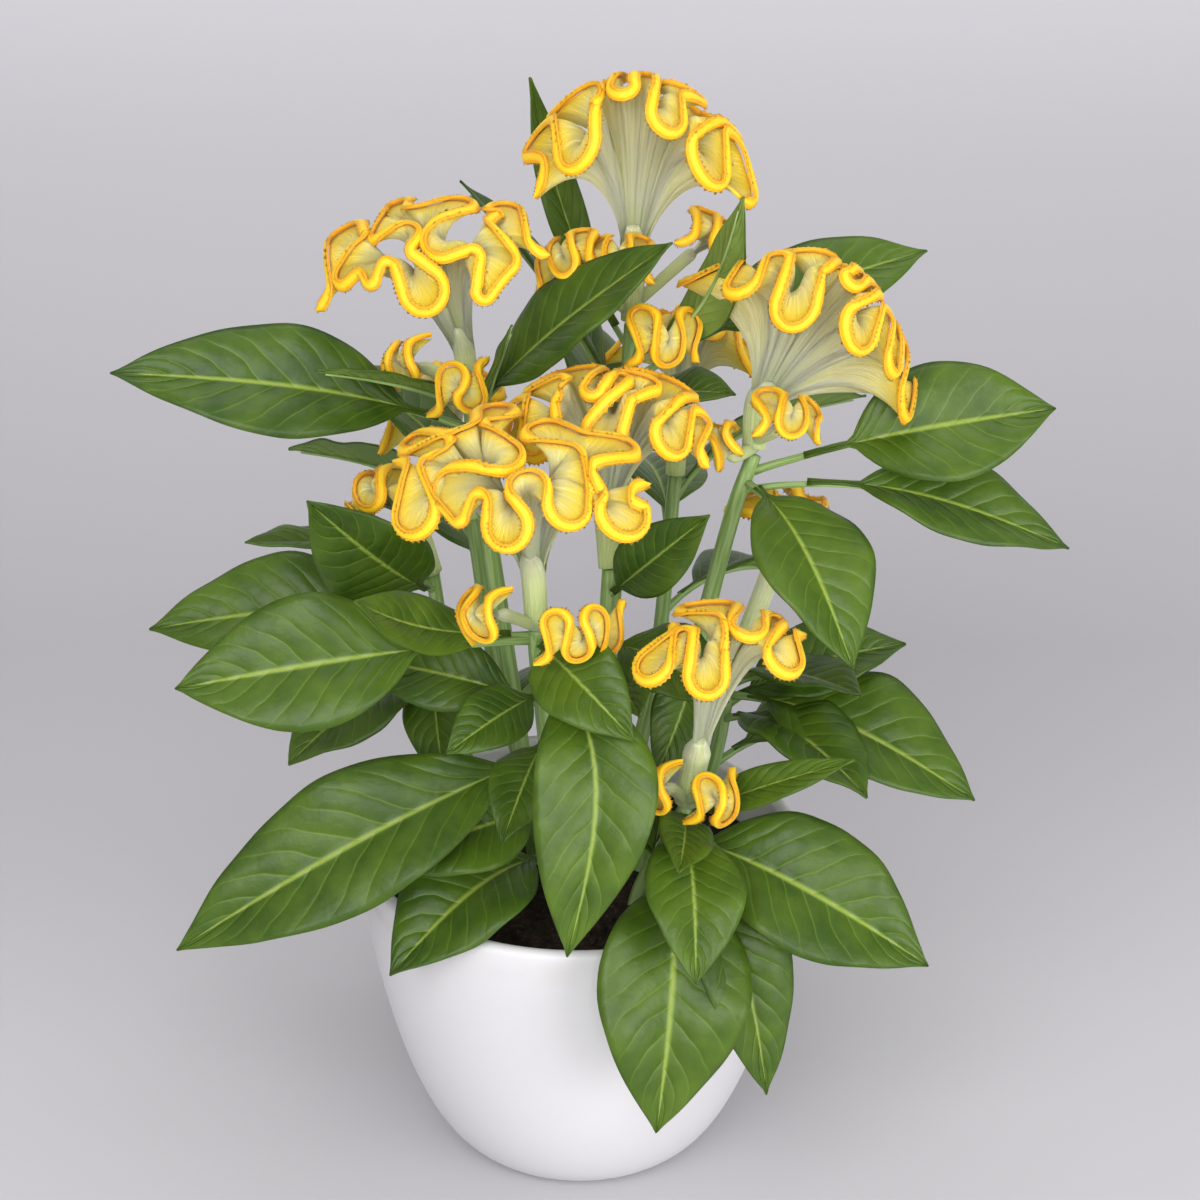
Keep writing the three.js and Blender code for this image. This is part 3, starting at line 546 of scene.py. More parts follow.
# ---- Pot and soil ----
def wall_point(t, inwards):
    """The outside profile, a Bezier curve, or a line that far inside it."""
    controls = [
        Vector((POT_FOOT_RADIUS, 0)),
        Vector((POT_FOOT_RADIUS + FOOT_HANDLE[0], FOOT_HANDLE[1])),
        Vector((POT_RADIUS - RIM_HANDLE[0], RIM_HANDLE[1])),
        Vector((POT_RADIUS, POT_HEIGHT - POT_WALL / 2)),
    ]
    s = 1 - t
    weights = [s ** 3, 3 * s * s * t, 3 * s * t * t, t ** 3]
    point = sum((c * w for c, w in zip(controls, weights)), Vector((0, 0)))
    slopes = [3 * s * s, 6 * s * t, 3 * t * t]
    along = sum(((b - a) * w for a, b, w in zip(controls, controls[1:], slopes)), Vector((0, 0)))
    along.normalize()
    return Vector((point.x - along.y * inwards, point.y + along.x * inwards))


def spin_profile(bm, profile, steps):
    """Turns a profile that starts and ends on the axis into a closed round body."""
    verts = [bm.verts.new((point.x, 0, point.y)) for point in profile]
    edges = [bm.edges.new(pair) for pair in zip(verts, verts[1:])]
    bmesh.ops.spin(
        bm, geom=verts + edges, cent=(0, 0, 0), axis=(0, 0, 1), dvec=(0, 0, 0),
        angle=2 * math.pi, steps=steps, use_merge=True,
    )
    bmesh.ops.remove_doubles(bm, verts=bm.verts, dist=1e-3)
    bmesh.ops.recalc_face_normals(bm, faces=bm.faces)


def make_pot():
    bm = new_bmesh()
    profile = [Vector((0, 0)), Vector((POT_FOOT_RADIUS - 5, 0))]
    profile += [wall_point(i / 40, 0) for i in range(41)]
    lip = wall_point(1, POT_WALL / 2)
    for i in range(1, 12):
        turn = math.pi * i / 12
        profile.append(lip + Vector((math.cos(turn), math.sin(turn))) * POT_WALL / 2)
    profile += [wall_point(1 - i / 20, POT_WALL) for i in range(16)]
    profile += [Vector((POT_FOOT_RADIUS - 3, POT_WALL)), Vector((0, POT_WALL))]
    spin_profile(bm, profile, POT_SIDES)
    finish_piece("cover_pot", bm, [pot_material()], ["pot"])


def inner_radius_at(z):
    t = 0.0
    while t < 1 and wall_point(t, POT_WALL).y < z:
        t += 0.01
    return wall_point(t, POT_WALL).x


def make_soil():
    bm = new_bmesh()
    edge = inner_radius_at(SOIL_TOP) - 0.6
    profile = [Vector((0, POT_WALL + 0.4)), Vector((POT_FOOT_RADIUS - 4, POT_WALL + 0.4))]
    profile += [wall_point(t, POT_WALL + 0.7) for t in (0.25, 0.35, 0.45, 0.6, 0.72)]
    for i in range(41):
        share = i / 40
        profile.append(Vector((edge * (1 - share), SOIL_TOP + SOIL_CROWN * (1 - (1 - share) ** 2))))
    spin_profile(bm, profile, SOIL_SIDES)
    for vert in bm.verts:
        if vert.co.z > SOIL_TOP - 2 and vert.co.xy.length < edge - 0.5:
            vert.co.z += 1.6 * noise.noise(vert.co * 0.16) + 1.1 * noise.noise(vert.co * 0.45)
    for i in range(CRUMBS):
        reach = (edge - 4) * math.sqrt(0.5 + 0.5 * draw(i * 3 + 1))
        turn = math.pi * draw(i * 3 + 2)
        size = CRUMB_SIZE + CRUMB_SPREAD * draw(i * 3 + 3)
        place = Vector((reach * math.cos(turn), reach * math.sin(turn), 0))
        place.z = SOIL_TOP + SOIL_CROWN * (1 - (reach / edge) ** 2) + 0.6 * size
        there = Matrix.Translation(place)
        crumb = bmesh.ops.create_icosphere(bm, subdivisions=1, radius=size, matrix=there)
        for vert in crumb["verts"]:
            vert.co += (vert.co - place) * 0.5 * noise.noise(vert.co * 1.3)
    finish_piece("potting_soil_plug", bm, [soil_material()], ["soil"], smooth=False)


# ---- Stems and leaves ----
def leaf(at, tip, width, arch, front=0.4, stalk=0.16, sweep=0.0):
    """A leaf leaves its stem at the height at. arch, sweep and width are in millimetres."""
    return {
        "at": at, "tip": Vector(tip), "width": width, "arch": arch, "front": front,
        "stalk": stalk, "sweep": sweep,
    }


STEMS = {
    "top": (3.4, [(4, 6), (9, 10, 170), (14, 16, 235), (16, 19, 270)], [
        leaf(262, (-14, 32, 342), 13, -12, 1.2),
        leaf(260, (47, -12, 321), 17, 3, 0.4, sweep=8),
        leaf(242, (46, -4, 257), 20, 4, 0.8),
        leaf(252, (106, 54, 280), 30, 8, 0.6, stalk=0.3),
        leaf(238, (-36, 58, 301), 30, 5, 0.2),
        leaf(215, (-12, 100, 246), 30, 10, -0.4),
    ]),
    "upper_left": (3.2, [(-14, 8), (-22, 12, 160), (-30, 14, 225), (-33, 15, 251)], [
        leaf(245, (-75, -22, 272), 15, 2, 0.3),
        leaf(243, (27, -14, 308), 26, 4, 0.9),
        leaf(238, (-137, -2, 263), 36, 10, 0.9, stalk=0.2),
        leaf(228, (-19, -12, 282), 9, 2, 0.4),
        leaf(208, (-88, 66, 240), 34, 10, -0.3),
    ]),
    "right": (3.2, [(20, 3), (33, -3, 160), (45, -4, 215), (52, 0, 236)], [
        leaf(231, (141, 2, 250), 38, 7, 0.9, stalk=0.34),
        leaf(226, (146, -8, 209), 30, 12, 0.5, stalk=0.34),
        leaf(229, (79, -57, 194), 36, 9, 0.9),
        leaf(176, (23, -34, 146), 20, 5, 0.7),
    ]),
    "middle": (2.8, [(2, -8), (6, -14, 150), (9, -14, 205)], [
        leaf(196, (38, -34, 232), 20, 4, 0.6),
        leaf(180, (44, -44, 176), 26, 6, 0.5),
        leaf(168, (18, -56, 178), 20, 5, 0.7),
        leaf(138, (22, -60, 134), 20, 7, 0.6),
    ]),
    "front": (3.2, [(-6, -18), (-9, -30, 150), (-12, -37, 188), (-12, -39, 198)], [
        leaf(194, (-116, -58, 188), 40, 9, 1, stalk=0.34),
        leaf(196, (-62, -78, 226), 18, -12, 0.6),
        leaf(190, (-3, -94, 120), 36, 18, 0.5, sweep=14),
        leaf(193, (16, -78, 182), 26, 8, 0.9),
        leaf(152, (-120, -58, 100), 42, 12, 1, stalk=0.1),
        leaf(170, (-68, -26, 182), 24, 6, 0.4),
        leaf(128, (-58, -54, 126), 30, 8, 0.6),
        leaf(110, (-56, -66, 96), 38, 12, 0.2),
        leaf(174, (-38, -64, 170), 20, 4, 0.8),
        leaf(158, (-22, -70, 144), 20, 4, 0.8),
    ]),
    "front_right": (3, [(18, -22), (27, -35, 125), (32, -45, 142)], [
        leaf(122, (23, -92, 58), 46, 19, 0.4),
        leaf(136, (34, -93, 110), 30, 8, 0.6),
        leaf(120, (56, -78, 62), 30, 22, 0.4),
        leaf(128, (104, -64, 98), 42, 11, 0.8, stalk=0.12),
        leaf(134, (80, -64, 168), 12, 4, 0.4),
        leaf(138, (29, -84, 142), 18, 3, 0.8),
    ]),
    "low_right": (2.9, [(31, 10), (42, 14, 125), (47, 16, 154)], [
        leaf(148, (120, -24, 132), 40, 9, 0.8),
        leaf(140, (86, -40, 142), 34, 8, 0.7),
        leaf(151, (84, -28, 170), 28, 5, 0.7),
        leaf(144, (101, 16, 165), 28, 6, 0.5),
        leaf(124, (98, 44, 104), 38, 14, 0),
    ]),
    "left": (3, [(-30, 8), (-40, 14, 150), (-45, 19, 188)], [
        leaf(174, (-132, 12, 172), 36, 8, 0.9),
        leaf(184, (-99, -10, 212), 24, 5, 0.4),
        leaf(182, (-79, -22, 231), 32, 5, 1),
        leaf(158, (-88, -20, 142), 36, 7, 0.7),
        leaf(138, (-104, 36, 126), 36, 12, 0),
        leaf(166, (-40, -30, 140), 20, 5, 0.8),
    ]),
    "back_right": (3, [(14, 32), (24, 46, 140), (30, 54, 205)], [
        leaf(198, (92, 92, 216), 34, 8, -0.4),
        leaf(182, (10, 134, 176), 38, 12, -0.4),
        leaf(160, (94, 98, 138), 40, 14, -0.4),
        leaf(126, (38, 118, 80), 40, 20, -0.4),
    ]),
    "back_left": (3, [(-14, 32), (-26, 46, 135), (-34, 54, 190)], [
        leaf(184, (-94, 86, 200), 34, 8, -0.4),
        leaf(168, (-44, 128, 158), 38, 12, -0.4),
        leaf(140, (-96, 76, 106), 40, 14, -0.4),
        leaf(118, (-26, 114, 78), 40, 20, -0.4),
    ]),
}


def stem_curve(path):
    x, y = path[0]
    return SmoothCurve([(x, y, SOIL_TOP - STEM_HOLE_DEPTH), (x, y, SOIL_TOP + 6), *path[1:]])


def point_at_height(curve, z):
    low = 0.0
    high = 1.0
    for _ in range(20):
        middle = (low + high) / 2
        if curve.point(middle).z < z:
            low = middle
        else:
            high = middle
    return curve.point(low)


def blade_shape(t):
    return 4 * t ** 0.9 * (1 - t) ** 1.12


class LeafForm:
    """Where each point of a leaf lies: its arched midrib, and its lifted and waved halves."""

    def __init__(self, base, given, seed):
        self.base = base
        self.given = given
        self.seed = seed
        self.chord = given["tip"] - base
        along = self.chord.normalized()
        outward = Vector((base.x + given["tip"].x, base.y + given["tip"].y, 0)).normalized()
        face = Vector((0, 0, 1)) + outward * 0.7 + Vector((0, -1, 0)) * given["front"]
        self.face = (face - along * face.dot(along)).normalized()
        self.across = self.face.cross(along)
        width = given["width"]
        self.waves = 7 if width > LARGE_LEAF else 6 if width > SMALL_LEAF else 4

    def rib(self, t):
        bow = math.sin(math.pi * t ** 0.85)
        return (self.base + self.chord * t + self.face * (self.given["arch"] * bow)
                + self.across * (self.given["sweep"] * bow))

    def normal(self, t):
        slope = self.chord + self.face * (3 * self.given["arch"] * (1 - 2 * t))
        return slope.cross(self.across).normalized()

    def point(self, spot, t):
        stalk = self.given["stalk"]
        width = self.given["width"]
        blade = clamp((t - stalk) / (1 - stalk))
        half = max(0.5 * width * blade_shape(blade), mix(1.3, 0.12, t))
        reach = abs(spot)
        fold = (LEAF_FOLD * reach - LEAF_CURL * reach ** 3) * half
        wave = LEAF_WAVE * reach * half * math.sin(2.3 * t * self.waves + 1.7 * self.seed + spot)
        ripple = LEAF_RIPPLE * reach ** 2 * math.sin(5.6 * t * self.waves + 3.1 * self.seed + 2 * spot)
        quilt = abs(math.sin(math.pi * (9 * blade - 1.8 * reach)))
        puff = LEAF_PUFF * clamp(half / 10) * math.sin(math.pi * reach) * quilt
        return (self.rib(t) + self.across * (spot * half)
                + self.normal(t) * (fold + wave + ripple + puff))


def add_leaf(bm, base, given, seed):
    """A blade of two faces with a midrib under it."""
    form = LeafForm(base, given, seed)
    start = LEAF_START * given["stalk"]
    rows = max(18, round(form.chord.length * (1 - start) / LEAF_ROW))
    cells = grid(bm, LEAF_COLUMNS, rows)
    tone = bm.verts.layers.float["tone"]
    shade = 0.5 + 0.5 * draw(seed * 1.7)
    for vert, column, row in cells:
        vert.co = form.point(1 - 2 * column / LEAF_COLUMNS, mix(start, 1, row / rows))
        vert[tone] = shade
    verts = [cell[0] for cell in cells]
    for face in faces_of(verts):
        face.material_index = 1
    thicken(bm, verts, LEAF_THICKNESS, 2)
    size = clamp(given["width"] / 36)
    midrib = SmoothCurve([form.rib(i / 12) - form.normal(i / 12) * MIDRIB_SINK for i in range(13)])
    add_tube(bm, midrib, lambda t: mix(0.9 + 0.6 * size, 0.25, t ** 0.6), 20, 8, end=0.94)


def make_stem(name, number):
    radius, path, leaves = STEMS[name]
    bm = new_bmesh()
    curve = stem_curve(path)
    add_tube(bm, curve, lambda t: radius * (1 - STEM_TAPER * t), 40, 14)
    for i, given in enumerate(leaves):
        add_leaf(bm, point_at_height(curve, given["at"]), given, number * 20 + i)
    skins = [STEM_SKIN, LEAF_FACE, LEAF_UNDER]
    finish_piece(f"leafy_stem_{name}", bm, skins, [f"stem_{name}"])


# ---- Combs ----
class Comb:
    """One comb: where it stands, the pegs its crest is folded round, and the shape of its fan."""

    def __init__(self, neck, up, pegs, height, droop, width, neck_radius, source=0.0):
        self.neck = Vector(neck)
        self.up = Vector(up).normalized()
        self.pegs = [(Vector((u, w)), radius) for u, w, radius in pegs]
        self.height = height
        self.droop = droop
        self.width = width
        self.neck_radius = neck_radius
        self.source = source
        across = Vector((1, 0, 0))
        self.across = (across - self.up * across.dot(self.up)).normalized()
        self.through = self.up.cross(self.across)
        self.spread = max(centre.length for centre, radius in self.pegs)
        self.drift = SmoothCurve([self.mean_peg(i) for i in range(len(self.pegs))])

    def mean_peg(self, i):
        """The mean of the pegs about one, which the folds fade to at the neck."""
        near = [centre for centre, radius in self.pegs[max(0, i - DRIFT_REACH):i + DRIFT_REACH + 1]]
        return (sum(near, Vector((0, 0))) / len(near)).to_3d()

    def belt(self, arc_steps, run_steps):
        """Points along the crest: (on the crest, on the line it folds out from)."""
        pegs = self.pegs
        angles = []
        for (centre, radius), (onward, next_radius) in zip(pegs, pegs[1:]):
            gap = onward - centre
            lean = max(-0.98, min(0.98, (next_radius - radius) / gap.length))
            angles.append(math.atan2(gap.y, gap.x) - math.asin(lean))
        found = []
        for i, (centre, radius) in enumerate(pegs):
            turning = 1 if radius > 0 else -1
            first = angles[i - 1] if i else angles[0] - turning * END_CURL
            last = angles[i] if i < len(angles) else angles[i - 1] + turning * END_CURL
            sweep = ((last - first) * turning) % (2 * math.pi)
            for k in range(arc_steps + 1):
                angle = first + turning * sweep * k / arc_steps
                crest = centre + Vector((math.sin(angle), -math.cos(angle))) * radius
                place = i + ARC_SHARE * (k / arc_steps - 0.5)
                if k == 0 and found:
                    before, before_place = found[-1]
                    for step in range(1, run_steps):
                        share = step / run_steps
                        found.append((before.lerp(crest, share), mix(before_place, place, share)))
                found.append((crest, place))
        last_peg = len(pegs) - 1
        return [(crest, self.drift.point(clamp(place / last_peg))) for crest, place in found]

    def point(self, spot, v):
        """A point of the fan: v is 0 at the neck and 1 under the crest."""
        crest, middle = spot
        opened = v ** FOLD_POWER
        share = mix(NECK_SHARE, 1, v ** FAN_POWER)
        u = mix(middle.x, crest.x, opened) * share
        w = mix(middle.y, crest.y, opened) * share
        far = (crest.x ** 2 + DOME_DEPTH * crest.y ** 2) / self.spread ** 2
        height = (self.height - self.droop * far) * (1 - (1 - v) ** DOME_POWER)
        reach = math.hypot(crest.x - middle.x, crest.y - middle.y)
        height -= LIP_DROP * reach * v ** LIP_POWER
        return self.neck + self.across * u + self.through * w + self.up * height

    def outward(self, spot):
        """The dome's own normal under a point of the crest."""
        crest = spot[0]
        slope = 2 * self.droop / self.spread ** 2
        lean = self.across * (slope * crest.x) + self.through * (slope * DOME_DEPTH * crest.y)
        return (self.up + lean).normalized()

    def stalk_radius(self, t):
        """The stalk swells up to its neck and narrows away inside the fan."""
        return self.neck_radius * mix(0.85, 1, t) * (1 - 0.55 * clamp(3 * t - 2))


def folds_about(line, count, seed, swing):
    """Pegs to the left and right of a line in turn, as (u, w, radius). A positive radius turns left."""
    curve = SmoothCurve([(u, w, 0) for u, w in line])
    spacing = curve.length / count
    found = []
    for i in range(count):
        share = (i + 0.5 + 0.16 * draw(i + 2.5 * seed)) / count
        at = curve.point(curve.even(share))
        along = curve.tangent(curve.even(share))
        before = curve.tangent(curve.even(share - BEND_REACH))
        after = curve.tangent(curve.even(share + BEND_REACH))
        bend = before.cross(after).z / (2 * BEND_REACH * curve.length)
        side = 1 if i % 2 else -1
        reach = side * swing * (1 + 0.3 * draw(i + seed))
        radius = max(MIN_PEG, FOLD_ROUNDNESS * spacing * (1 - bend * reach))
        found.append((at.x - along.y * reach, at.y + along.x * reach, -side * radius))
    return found


def large(neck, up, line, folds, seed, height, droop):
    """A comb with that many folds, spread along a line."""
    pegs = folds_about(line, folds, seed, LARGE_SWING)
    return Comb(neck, up, pegs, height, droop, LARGE_WIDTH, LARGE_NECK)


def ruffled(neck, up, pegs, height, droop, neck_radius=LARGE_NECK):
    """A comb whose folds are placed one by one."""
    return Comb(neck, up, pegs, height, droop, PLACED_WIDTH, neck_radius)


def small(neck, up, reach, folds, seed, source, height=14.0, swing=2.4):
    """A side comb. reach is half its length, and source is where on the main stalk it grows, 0 to 1."""
    pegs = folds_about([(-reach, 0), (reach, 0)], folds, seed, swing)
    return Comb(neck, up, pegs, height, SMALL_DROOP, SMALL_WIDTH, SMALL_NECK, source)


BLOOMS = {
    "top": ((16, 19, 271.4), [
        ruffled((16, 22, 292), (0, -0.4, 1), [
            (-29, -10, 4.4), (-26, 0, -4.2), (-16, -9, 5), (-9, -2, -2.4), (-13, 5, 3.2), (-21, 11, -2.2),
            (-14, 15, -3), (-6, 13, -2.6), (-3, 3, 3), (3, 7, -2.8), (9, -4, 4.4), (15, 2, -2.4),
            (17, 9, 2.2), (10, 14, -2.2), (18, 18, -3), (26, 12, -4), (21, -9, 5), (28, -1, -2.8),
            (30, -8, -4),
        ], height=62, droop=23, neck_radius=4),
        small((4, 17, 283), (-0.6, -0.4, 0.9), 13, 5, 5, 0.1, 19.0, 3.6),
        small((13, 13, 287), (-0.1, -0.6, 1), 12, 5, 6, 0.4, 15.0, 3.4),
        small((31, 22, 289), (0.8, -0.3, 0.8), 13, 5, 7, 0.2, 18.0, 3.6),
        small((22, 8, 270), (0.3, -0.9, 0.4), 14, 5, 8, 0.0, 17.0, 3.4),
    ]),
    "upper_left": ((-33, 15, 251.6), [
        ruffled((-34, 16, 263), (-0.2, -0.5, 1), [
            (-34, -6, 4.5), (-26, 11, -5.5), (-17, 6, 2), (-21, 4, -2.5), (-24, -6, 3.5), (-20, -10, -1.4),
            (-16, -11, 2), (-11, -11, -2.2), (-2, -16, 5.5), (-2, -5, -3), (-6, 0, 3), (-14, 4, -2.5),
            (-15, 14, 1.7), (-10, 16, -4), (-3, 14, 3.7), (7, 12, -5), (5, -3, 5.2), (12, -9, -2.5),
            (15, -17, 2), (20, -8, 4), (19, 2, -2), (18, 8, 1.5), (21, 9, -4.5), (31, 0, 4),
        ], height=53, droop=10),
        small((-34, 4, 256), (0, -1, 0.4), 11, 4, 15, 0.0, 13.0, 3.2),
        small((-44, 15, 257), (-0.9, -0.5, 0.5), 10, 4, 16, 0.0, 15.0, 3.2),
    ]),
    "right": ((52, 0, 237.8), [
        ruffled((53, 5, 250), (0.36, -0.45, 1), [
            (-28, 16, 3.6), (-23, 9, -2.4), (-21, 0, 3.6), (-13, 4, -3), (-7.5, -8, 5.2), (0.4, 0, -2.6),
            (1.5, 9, 2.6), (-7.5, 13, -2.4), (2.6, 18, -3.2), (11.6, 13, -2.8), (8.2, 2, 2.4),
            (16, 4, -2.4), (12.7, -9, 4.9), (20.5, -3, -2.4), (26, -9, 2.9), (29.5, 0, -2.9),
            (35, -10, 3.6), (42, -2, -2.9),
        ], height=59, droop=38, neck_radius=4.2),
        small((57, -9, 247), (0.4, -0.6, 0.8), 14, 5, 25, 0.2, 16.0, 3.2),
        small((46, -8, 239), (-0.5, -0.4, 1), 6, 3, 26, 0.05),
    ]),
    "middle": ((9, -14, 205.6), [
        ruffled((8, -9, 221), (0.06, -0.5, 1), [
            (-32, 0, 3.6), (-27, 6, -3), (-21, -7, 4.8), (-14, 0, -2.4), (-16, 8, 2.6), (-22, 14, -2.2),
            (-14, 18, -2.8), (-6, 14, -2.6), (-6, 3, 2.4), (1, 6, -2.4), (-3, -9, 4.8), (6, -2, -2.4),
            (9, 6, 2.6), (3, 14, -2.2), (12, 17, -3), (20, 11, -3), (16, -7, 4.6), (24, 0, -2.6),
            (27, -8, 3),
        ], height=55, droop=17),
    ]),
    "front": ((-12, -39, 198.6), [
        ruffled((-13, -38, 216), (-0.1, -0.7, 1), [
            (-35, 9, -4.7), (-28, -4, 5.8), (-24, 8, -2.2), (-21, 14, 2.9), (-29, 21, -4.4), (-17, 23, 5.4),
            (-7, 29, -5.4), (-7, 21, 2.2), (-4, 8, -5.1), (-17, 0, 5.4), (-15, -8, 2.2), (-9, -7, -2.5),
            (-2, -13, 5.4), (4, -4, -4.7), (14, -7, 5.4), (21, -1, -1.4), (14, 6, 4.4), (8, 18, -5.4),
            (19, 20, 3.3), (28, 14, -4.4), (23, 3, 2.5), (22, -4, -1.8), (29, -7, 6.2), (36, -3, -5),
        ], height=55, droop=11, neck_radius=4),
        small((-20, -47, 206), (-0.7, -0.7, 0.4), 10, 4, 45, 0.0, 17.0, 3.6),
        small((-4, -49, 204), (0.4, -0.8, 0.2), 16, 6, 46, 0.0, 17.0, 3.4),
    ]),
    "left": ((-45, 19, 188.6), [
        large(
            (-49, 17, 203), (-0.65, -0.6, 1), [(-18, -4), (-10, 1), (0, 3), (10, 1), (18, -4)],
            folds=5, seed=51, height=30, droop=9,
        ),
    ]),
    "low_right": ((47, 16, 154.6), [
        large(
            (57, 16, 184), (0.25, -0.35, 1), [(-19, -5), (-10, 0), (0, 2), (10, 0), (19, -5)],
            folds=6, seed=61, height=41, droop=14,
        ),
    ]),
    "front_right": ((32, -45, 143.4), [
        ruffled((34.5, -46, 158), (0.1, -0.5, 1), [
            (-15, 6, -3.4), (-17, -4, 4.6), (-9, 2, -2.6), (-3, -8, 4.8), (4, -1, -2.8), (-2, 8, 3.2),
            (-6, 17, -3.4), (4, 19, -3), (9, 9, 4.2), (17, 15, -3), (19, 2, 5.2), (26, 9, -3.4),
        ], height=59, droop=9, neck_radius=4.4),
        small((28, -53, 152), (-0.7, -0.6, 0.4), 9, 4, 75, 0.0, 14.0, 3.0),
        small((36, -54, 151), (0.4, -0.9, 0.3), 10, 4, 76, 0.0, 14.0, 3.0),
    ]),
    "back_right": ((30, 54, 205.6), [
        large(
            (31, 56, 222), (0.2, 0.5, 1), [(-22, 5), (-11, -1), (0, -3), (11, -1), (22, 5)],
            folds=8, seed=81, height=36, droop=14,
        ),
    ]),
    "back_left": ((-34, 54, 190.6), [
        large(
            (-36, 56, 206), (-0.3, 0.5, 1), [(-20, 4), (-10, 0), (0, -2), (10, 0), (20, 4)],
            folds=6, seed=94, height=34, droop=13,
        ),
    ]),
}


def add_fan(bm, comb):
    """The comb's thin sheet, from its neck up to its folded edge."""
    belt = comb.belt(ARC_STEPS, RUN_STEPS)
    columns = len(belt) - 1
    cells = grid(bm, columns, FAN_ROWS)
    for vert, column, row in cells:
        vert.co = comb.point(belt[column], 1 - (1 - row / FAN_ROWS) ** ROW_CROWDING)
    verts = [cell[0] for cell in cells]
    stretch_uv(bm, faces_of(verts), columns, 1)
    thicken(bm, verts, FAN_THICKNESS, 0)


def crest_frames(comb, belt):
    """Each point of the crest, with the way across the ribbon and the way up off it."""
    spots = [comb.point(spot, 1) for spot in belt]
    frames = []
    for i, spot in enumerate(belt):
        rise = (spots[i] - comb.point(spot, 1 - RISE_STEP)).normalized()
        along = spots[min(i + 1, len(spots) - 1)] - spots[max(i - 1, 0)]
        out = along.cross(comb.outward(spot) + rise * RIBBON_LEAN).normalized()
        frames.append((spots[i], out, out.cross(along).normalized()))
    return frames


def crest_profile(share, width):
    """The ribbon's section: a soft flat band with a fine ridge along its middle."""
    angle = 2 * math.pi * share
    side = -math.sin(angle)
    lift = -math.cos(angle)
    across = math.copysign(abs(side) ** 0.55, side) * width / 2
    thickness = math.copysign(abs(lift) ** 0.5, lift) * RIBBON_HALF_THICKNESS
    ridge = RIDGE_HEIGHT * math.exp(-((share - 0.5) / RIDGE_SPREAD) ** 2)
    dish = DISH_DEPTH * math.exp(-((abs(share - 0.5) - DISH_PLACE) / DISH_SPREAD) ** 2)
    return across, RIBBON_LIFT + thickness + ridge - dish


def bears_bristle(face, rows):
    """Whether a face of the ribbon lies in one of the two bands that carry bristles."""
    row = sum(rows[vert] for vert in face.verts) / len(face.verts)
    return any(low <= row <= high for low, high in BRISTLE_ROWS)


def add_bristles(bm, faces, seed):
    """Raises a short spike from each of these faces, of three lengths."""
    kinds = [int(1.5 + 1.5 * draw(seed + i * 0.37)) for i in range(len(faces))]
    for kind, length in enumerate(BRISTLE_LENGTHS):
        chosen = [face for face, its_kind in zip(faces, kinds) if its_kind == kind]
        if not chosen:
            continue
        bmesh.ops.inset_individual(bm, faces=chosen, thickness=BRISTLE_ROOT)
        tips = bmesh.ops.poke(bm, faces=chosen, offset=length, center_mode="MEAN")["verts"]
        for vert in tips:
            vert.co += noise.noise_vector(vert.co * 3.1) * BRISTLE_SCATTER


def add_crest(bm, comb):
    """The ribbon that follows the comb's folded edge."""
    belt = comb.belt(ARC_STEPS + 4, RUN_STEPS + 1)
    frames = crest_frames(comb, belt)
    columns = len(belt) - 1
    cells = grid(bm, columns, CREST_PROFILE)
    for vert, column, row in cells:
        at, out, rise = frames[column]
        end = min(1.0, (min(column, columns - column) + 1) / TAPERED_COLUMNS)
        across, lift = crest_profile(row / CREST_PROFILE, comb.width * end)
        vert.co = at + out * across + rise * lift
    rows = {vert: row for vert, column, row in cells}
    verts = [cell[0] for cell in cells]
    faces = faces_of(verts)
    bristly = [face for face in faces if bears_bristle(face, rows)]
    bristly.sort(key=lambda face: face.index)
    stretch_uv(bm, faces, columns, 1)
    close_tube(bm, verts)
    add_bristles(bm, bristly, comb.neck.x)


def make_bloom(name):
    """A bloom's stalks and fans. The small combs grow from the main comb's stalk."""
    foot, combs = BLOOMS[name]
    foot = Vector(foot)
    bm = new_bmesh()
    main = combs[0]
    for comb in combs:
        root = foot if comb is main else foot.lerp(main.neck, comb.source)
        rise = MAIN_RISE if comb is main else SMALL_RISE
        stalk = SmoothCurve([root, comb.neck, comb.neck + comb.up * rise])
        tube = add_tube(bm, stalk, comb.stalk_radius, 14, STALK_SIDES)
        stretch_uv(bm, faces_of(tube), STALK_SIDES, 0.08)
        add_fan(bm, comb)
    finish_piece(f"fans_{name}", bm, [FLANK], [f"bloom_{name}"])


def make_crests(name):
    """The first comb's ribbon also stands for the crest nodes that are left over."""
    combs = BLOOMS[name][1]
    nodes = sorted(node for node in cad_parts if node.startswith(f"crest_{name}_"))
    nodes = [node for node in nodes if node.removeprefix(f"crest_{name}_").isdigit()]
    spare = len(nodes) - len(combs)
    for i, comb in enumerate(combs):
        bm = new_bmesh()
        add_crest(bm, comb)
        first = i + spare if i else 0
        finish_piece(f"ribbon_{name}_{i + 1}", bm, [CREST], nodes[first:i + spare + 1])


# ---- Studio, in metres but for the camera's place ----
CAMERA_TILT = 26.2             # degrees below level
CAMERA_AT = (6.4, -976.85, 668.67)
CAMERA_LENS = 108
BACKDROP_WIDTH = 8
BACKDROP_FRONT = -2.0          # these four are measured along the sheet
BACKDROP_END = 4.4
SWEEP_START = 1.0
SWEEP_LENGTH = 1.6
SWEEP_RADIUS = 1.0


def make_camera():
    camera = bpy.data.objects.new("camera", bpy.data.cameras.new("camera"))
    camera.data.lens = CAMERA_LENS
    camera.data.sensor_width = 36
    camera.location = Vector(CAMERA_AT) * MM
    camera.rotation_euler = (math.radians(90 - CAMERA_TILT), 0, 0)
    bpy.context.scene.collection.objects.link(camera)
    bpy.context.scene.camera = camera


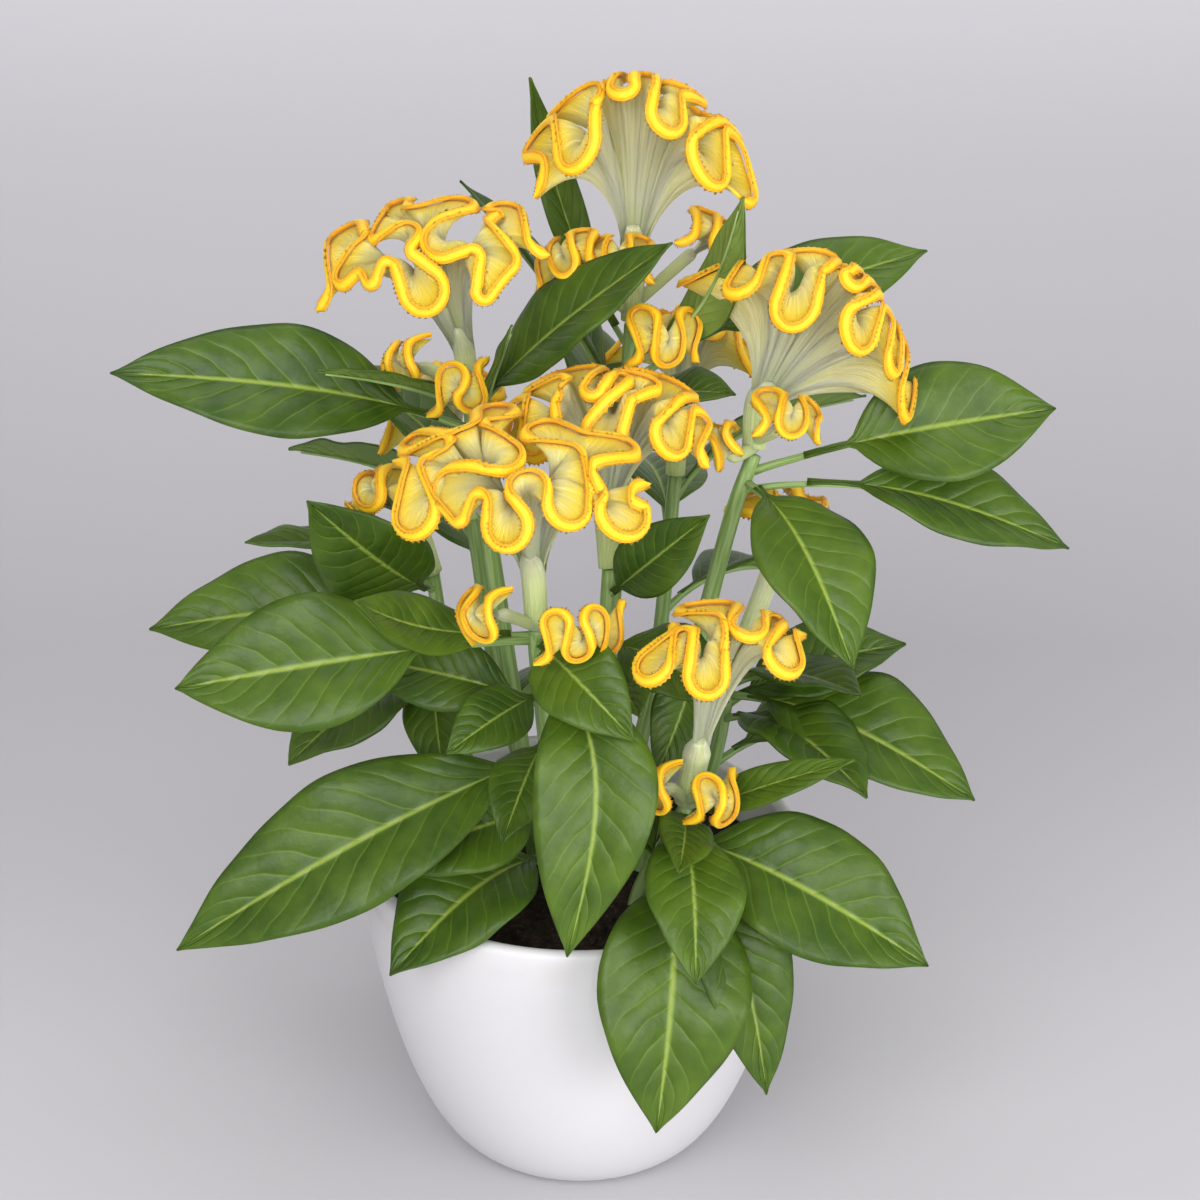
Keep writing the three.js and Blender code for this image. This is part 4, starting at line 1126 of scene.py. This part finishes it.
def make_backdrop():
    """A pale floor that sweeps up into the wall behind, with painted light and shade: its colour is darkest
    on the floor just behind the plant and lighter towards the front and up the sweep into the wall.
    """
    bm = bmesh.new()
    made = bmesh.ops.create_grid(bm, x_segments=8, y_segments=60, size=0.5)
    for vert in made["verts"]:
        x = vert.co.x * BACKDROP_WIDTH
        reach = mix(BACKDROP_FRONT, BACKDROP_END, vert.co.y + 0.5)
        turn = clamp((reach - SWEEP_START) / SWEEP_LENGTH) * math.pi / 2
        if reach <= SWEEP_START:
            vert.co = (x, reach, 0)
        elif reach <= SWEEP_START + SWEEP_LENGTH:
            rise = SWEEP_RADIUS * (1 - math.cos(turn))
            vert.co = (x, SWEEP_START + SWEEP_RADIUS * math.sin(turn), rise)
        else:
            rise = SWEEP_RADIUS + reach - (SWEEP_START + SWEEP_LENGTH)
            vert.co = (x, SWEEP_START + SWEEP_RADIUS, rise)
    mesh = bpy.data.meshes.new("backdrop")
    bm.to_mesh(mesh)
    bm.free()
    mesh.shade_smooth()
    material, tree, principled = new_material("backdrop_paper_painted_light", Roughness=0.8, Specular_IOR_Level=0.2)
    # Painted light and shade: the paper's colour changes with depth along the sheet, darker behind the
    # plant and lighter in front and up the wall.
    depth = add_node(tree, "ShaderNodeSeparateXYZ", {0: object_of(tree)}).outputs["Y"]
    stretch = {"Value": depth, "From Min": -0.3, "From Max": 1.3}
    depth = add_node(tree, "ShaderNodeMapRange", stretch).outputs["Result"]
    feed(tree, principled, Base_Color=ramp(tree, depth, [
        (0.05, (0.6, 0.59, 0.607)), (0.4, (0.47, 0.46, 0.476)), (1.0, (0.78, 0.77, 0.8)),
    ]))
    mesh.materials.append(material)
    backdrop = bpy.data.objects.new("backdrop", mesh)
    bpy.context.scene.collection.objects.link(backdrop)


def add_softbox(name, at, aim, size, power):
    lamp = bpy.data.lights.new(name, "AREA")
    lamp.shape = "RECTANGLE"
    lamp.size, lamp.size_y = size
    lamp.energy = power
    box = bpy.data.objects.new(name, lamp)
    box.location = at
    box.rotation_euler = (Vector(aim) - Vector(at)).to_track_quat("-Z", "Y").to_euler()
    bpy.context.scene.collection.objects.link(box)


def make_studio():
    make_camera()
    make_backdrop()
    plant = (0, 0, 0.2)
    add_softbox("key", (-0.4, -1.8, 1.3), plant, (1.6, 1.3), 35)
    add_softbox("fill", (1.3, -1.4, 0.6), plant, (1.3, 1.0), 22)
    add_softbox("top", (0.1, 0.4, 1.8), plant, (1.4, 1.0), 8)
    world = bpy.data.worlds.new("studio_air")
    world.use_nodes = True
    world.node_tree.nodes["Background"].inputs["Color"].default_value = (0.98, 0.97, 1.0, 1)
    world.node_tree.nodes["Background"].inputs["Strength"].default_value = 0.45
    bpy.context.scene.world = world
    bpy.context.scene.view_settings.view_transform = "Standard"


make_studio()
make_pot()
make_soil()
for number, name in enumerate(STEMS, 1):
    make_stem(name, number)
for name in BLOOMS:
    make_bloom(name)
    make_crests(name)
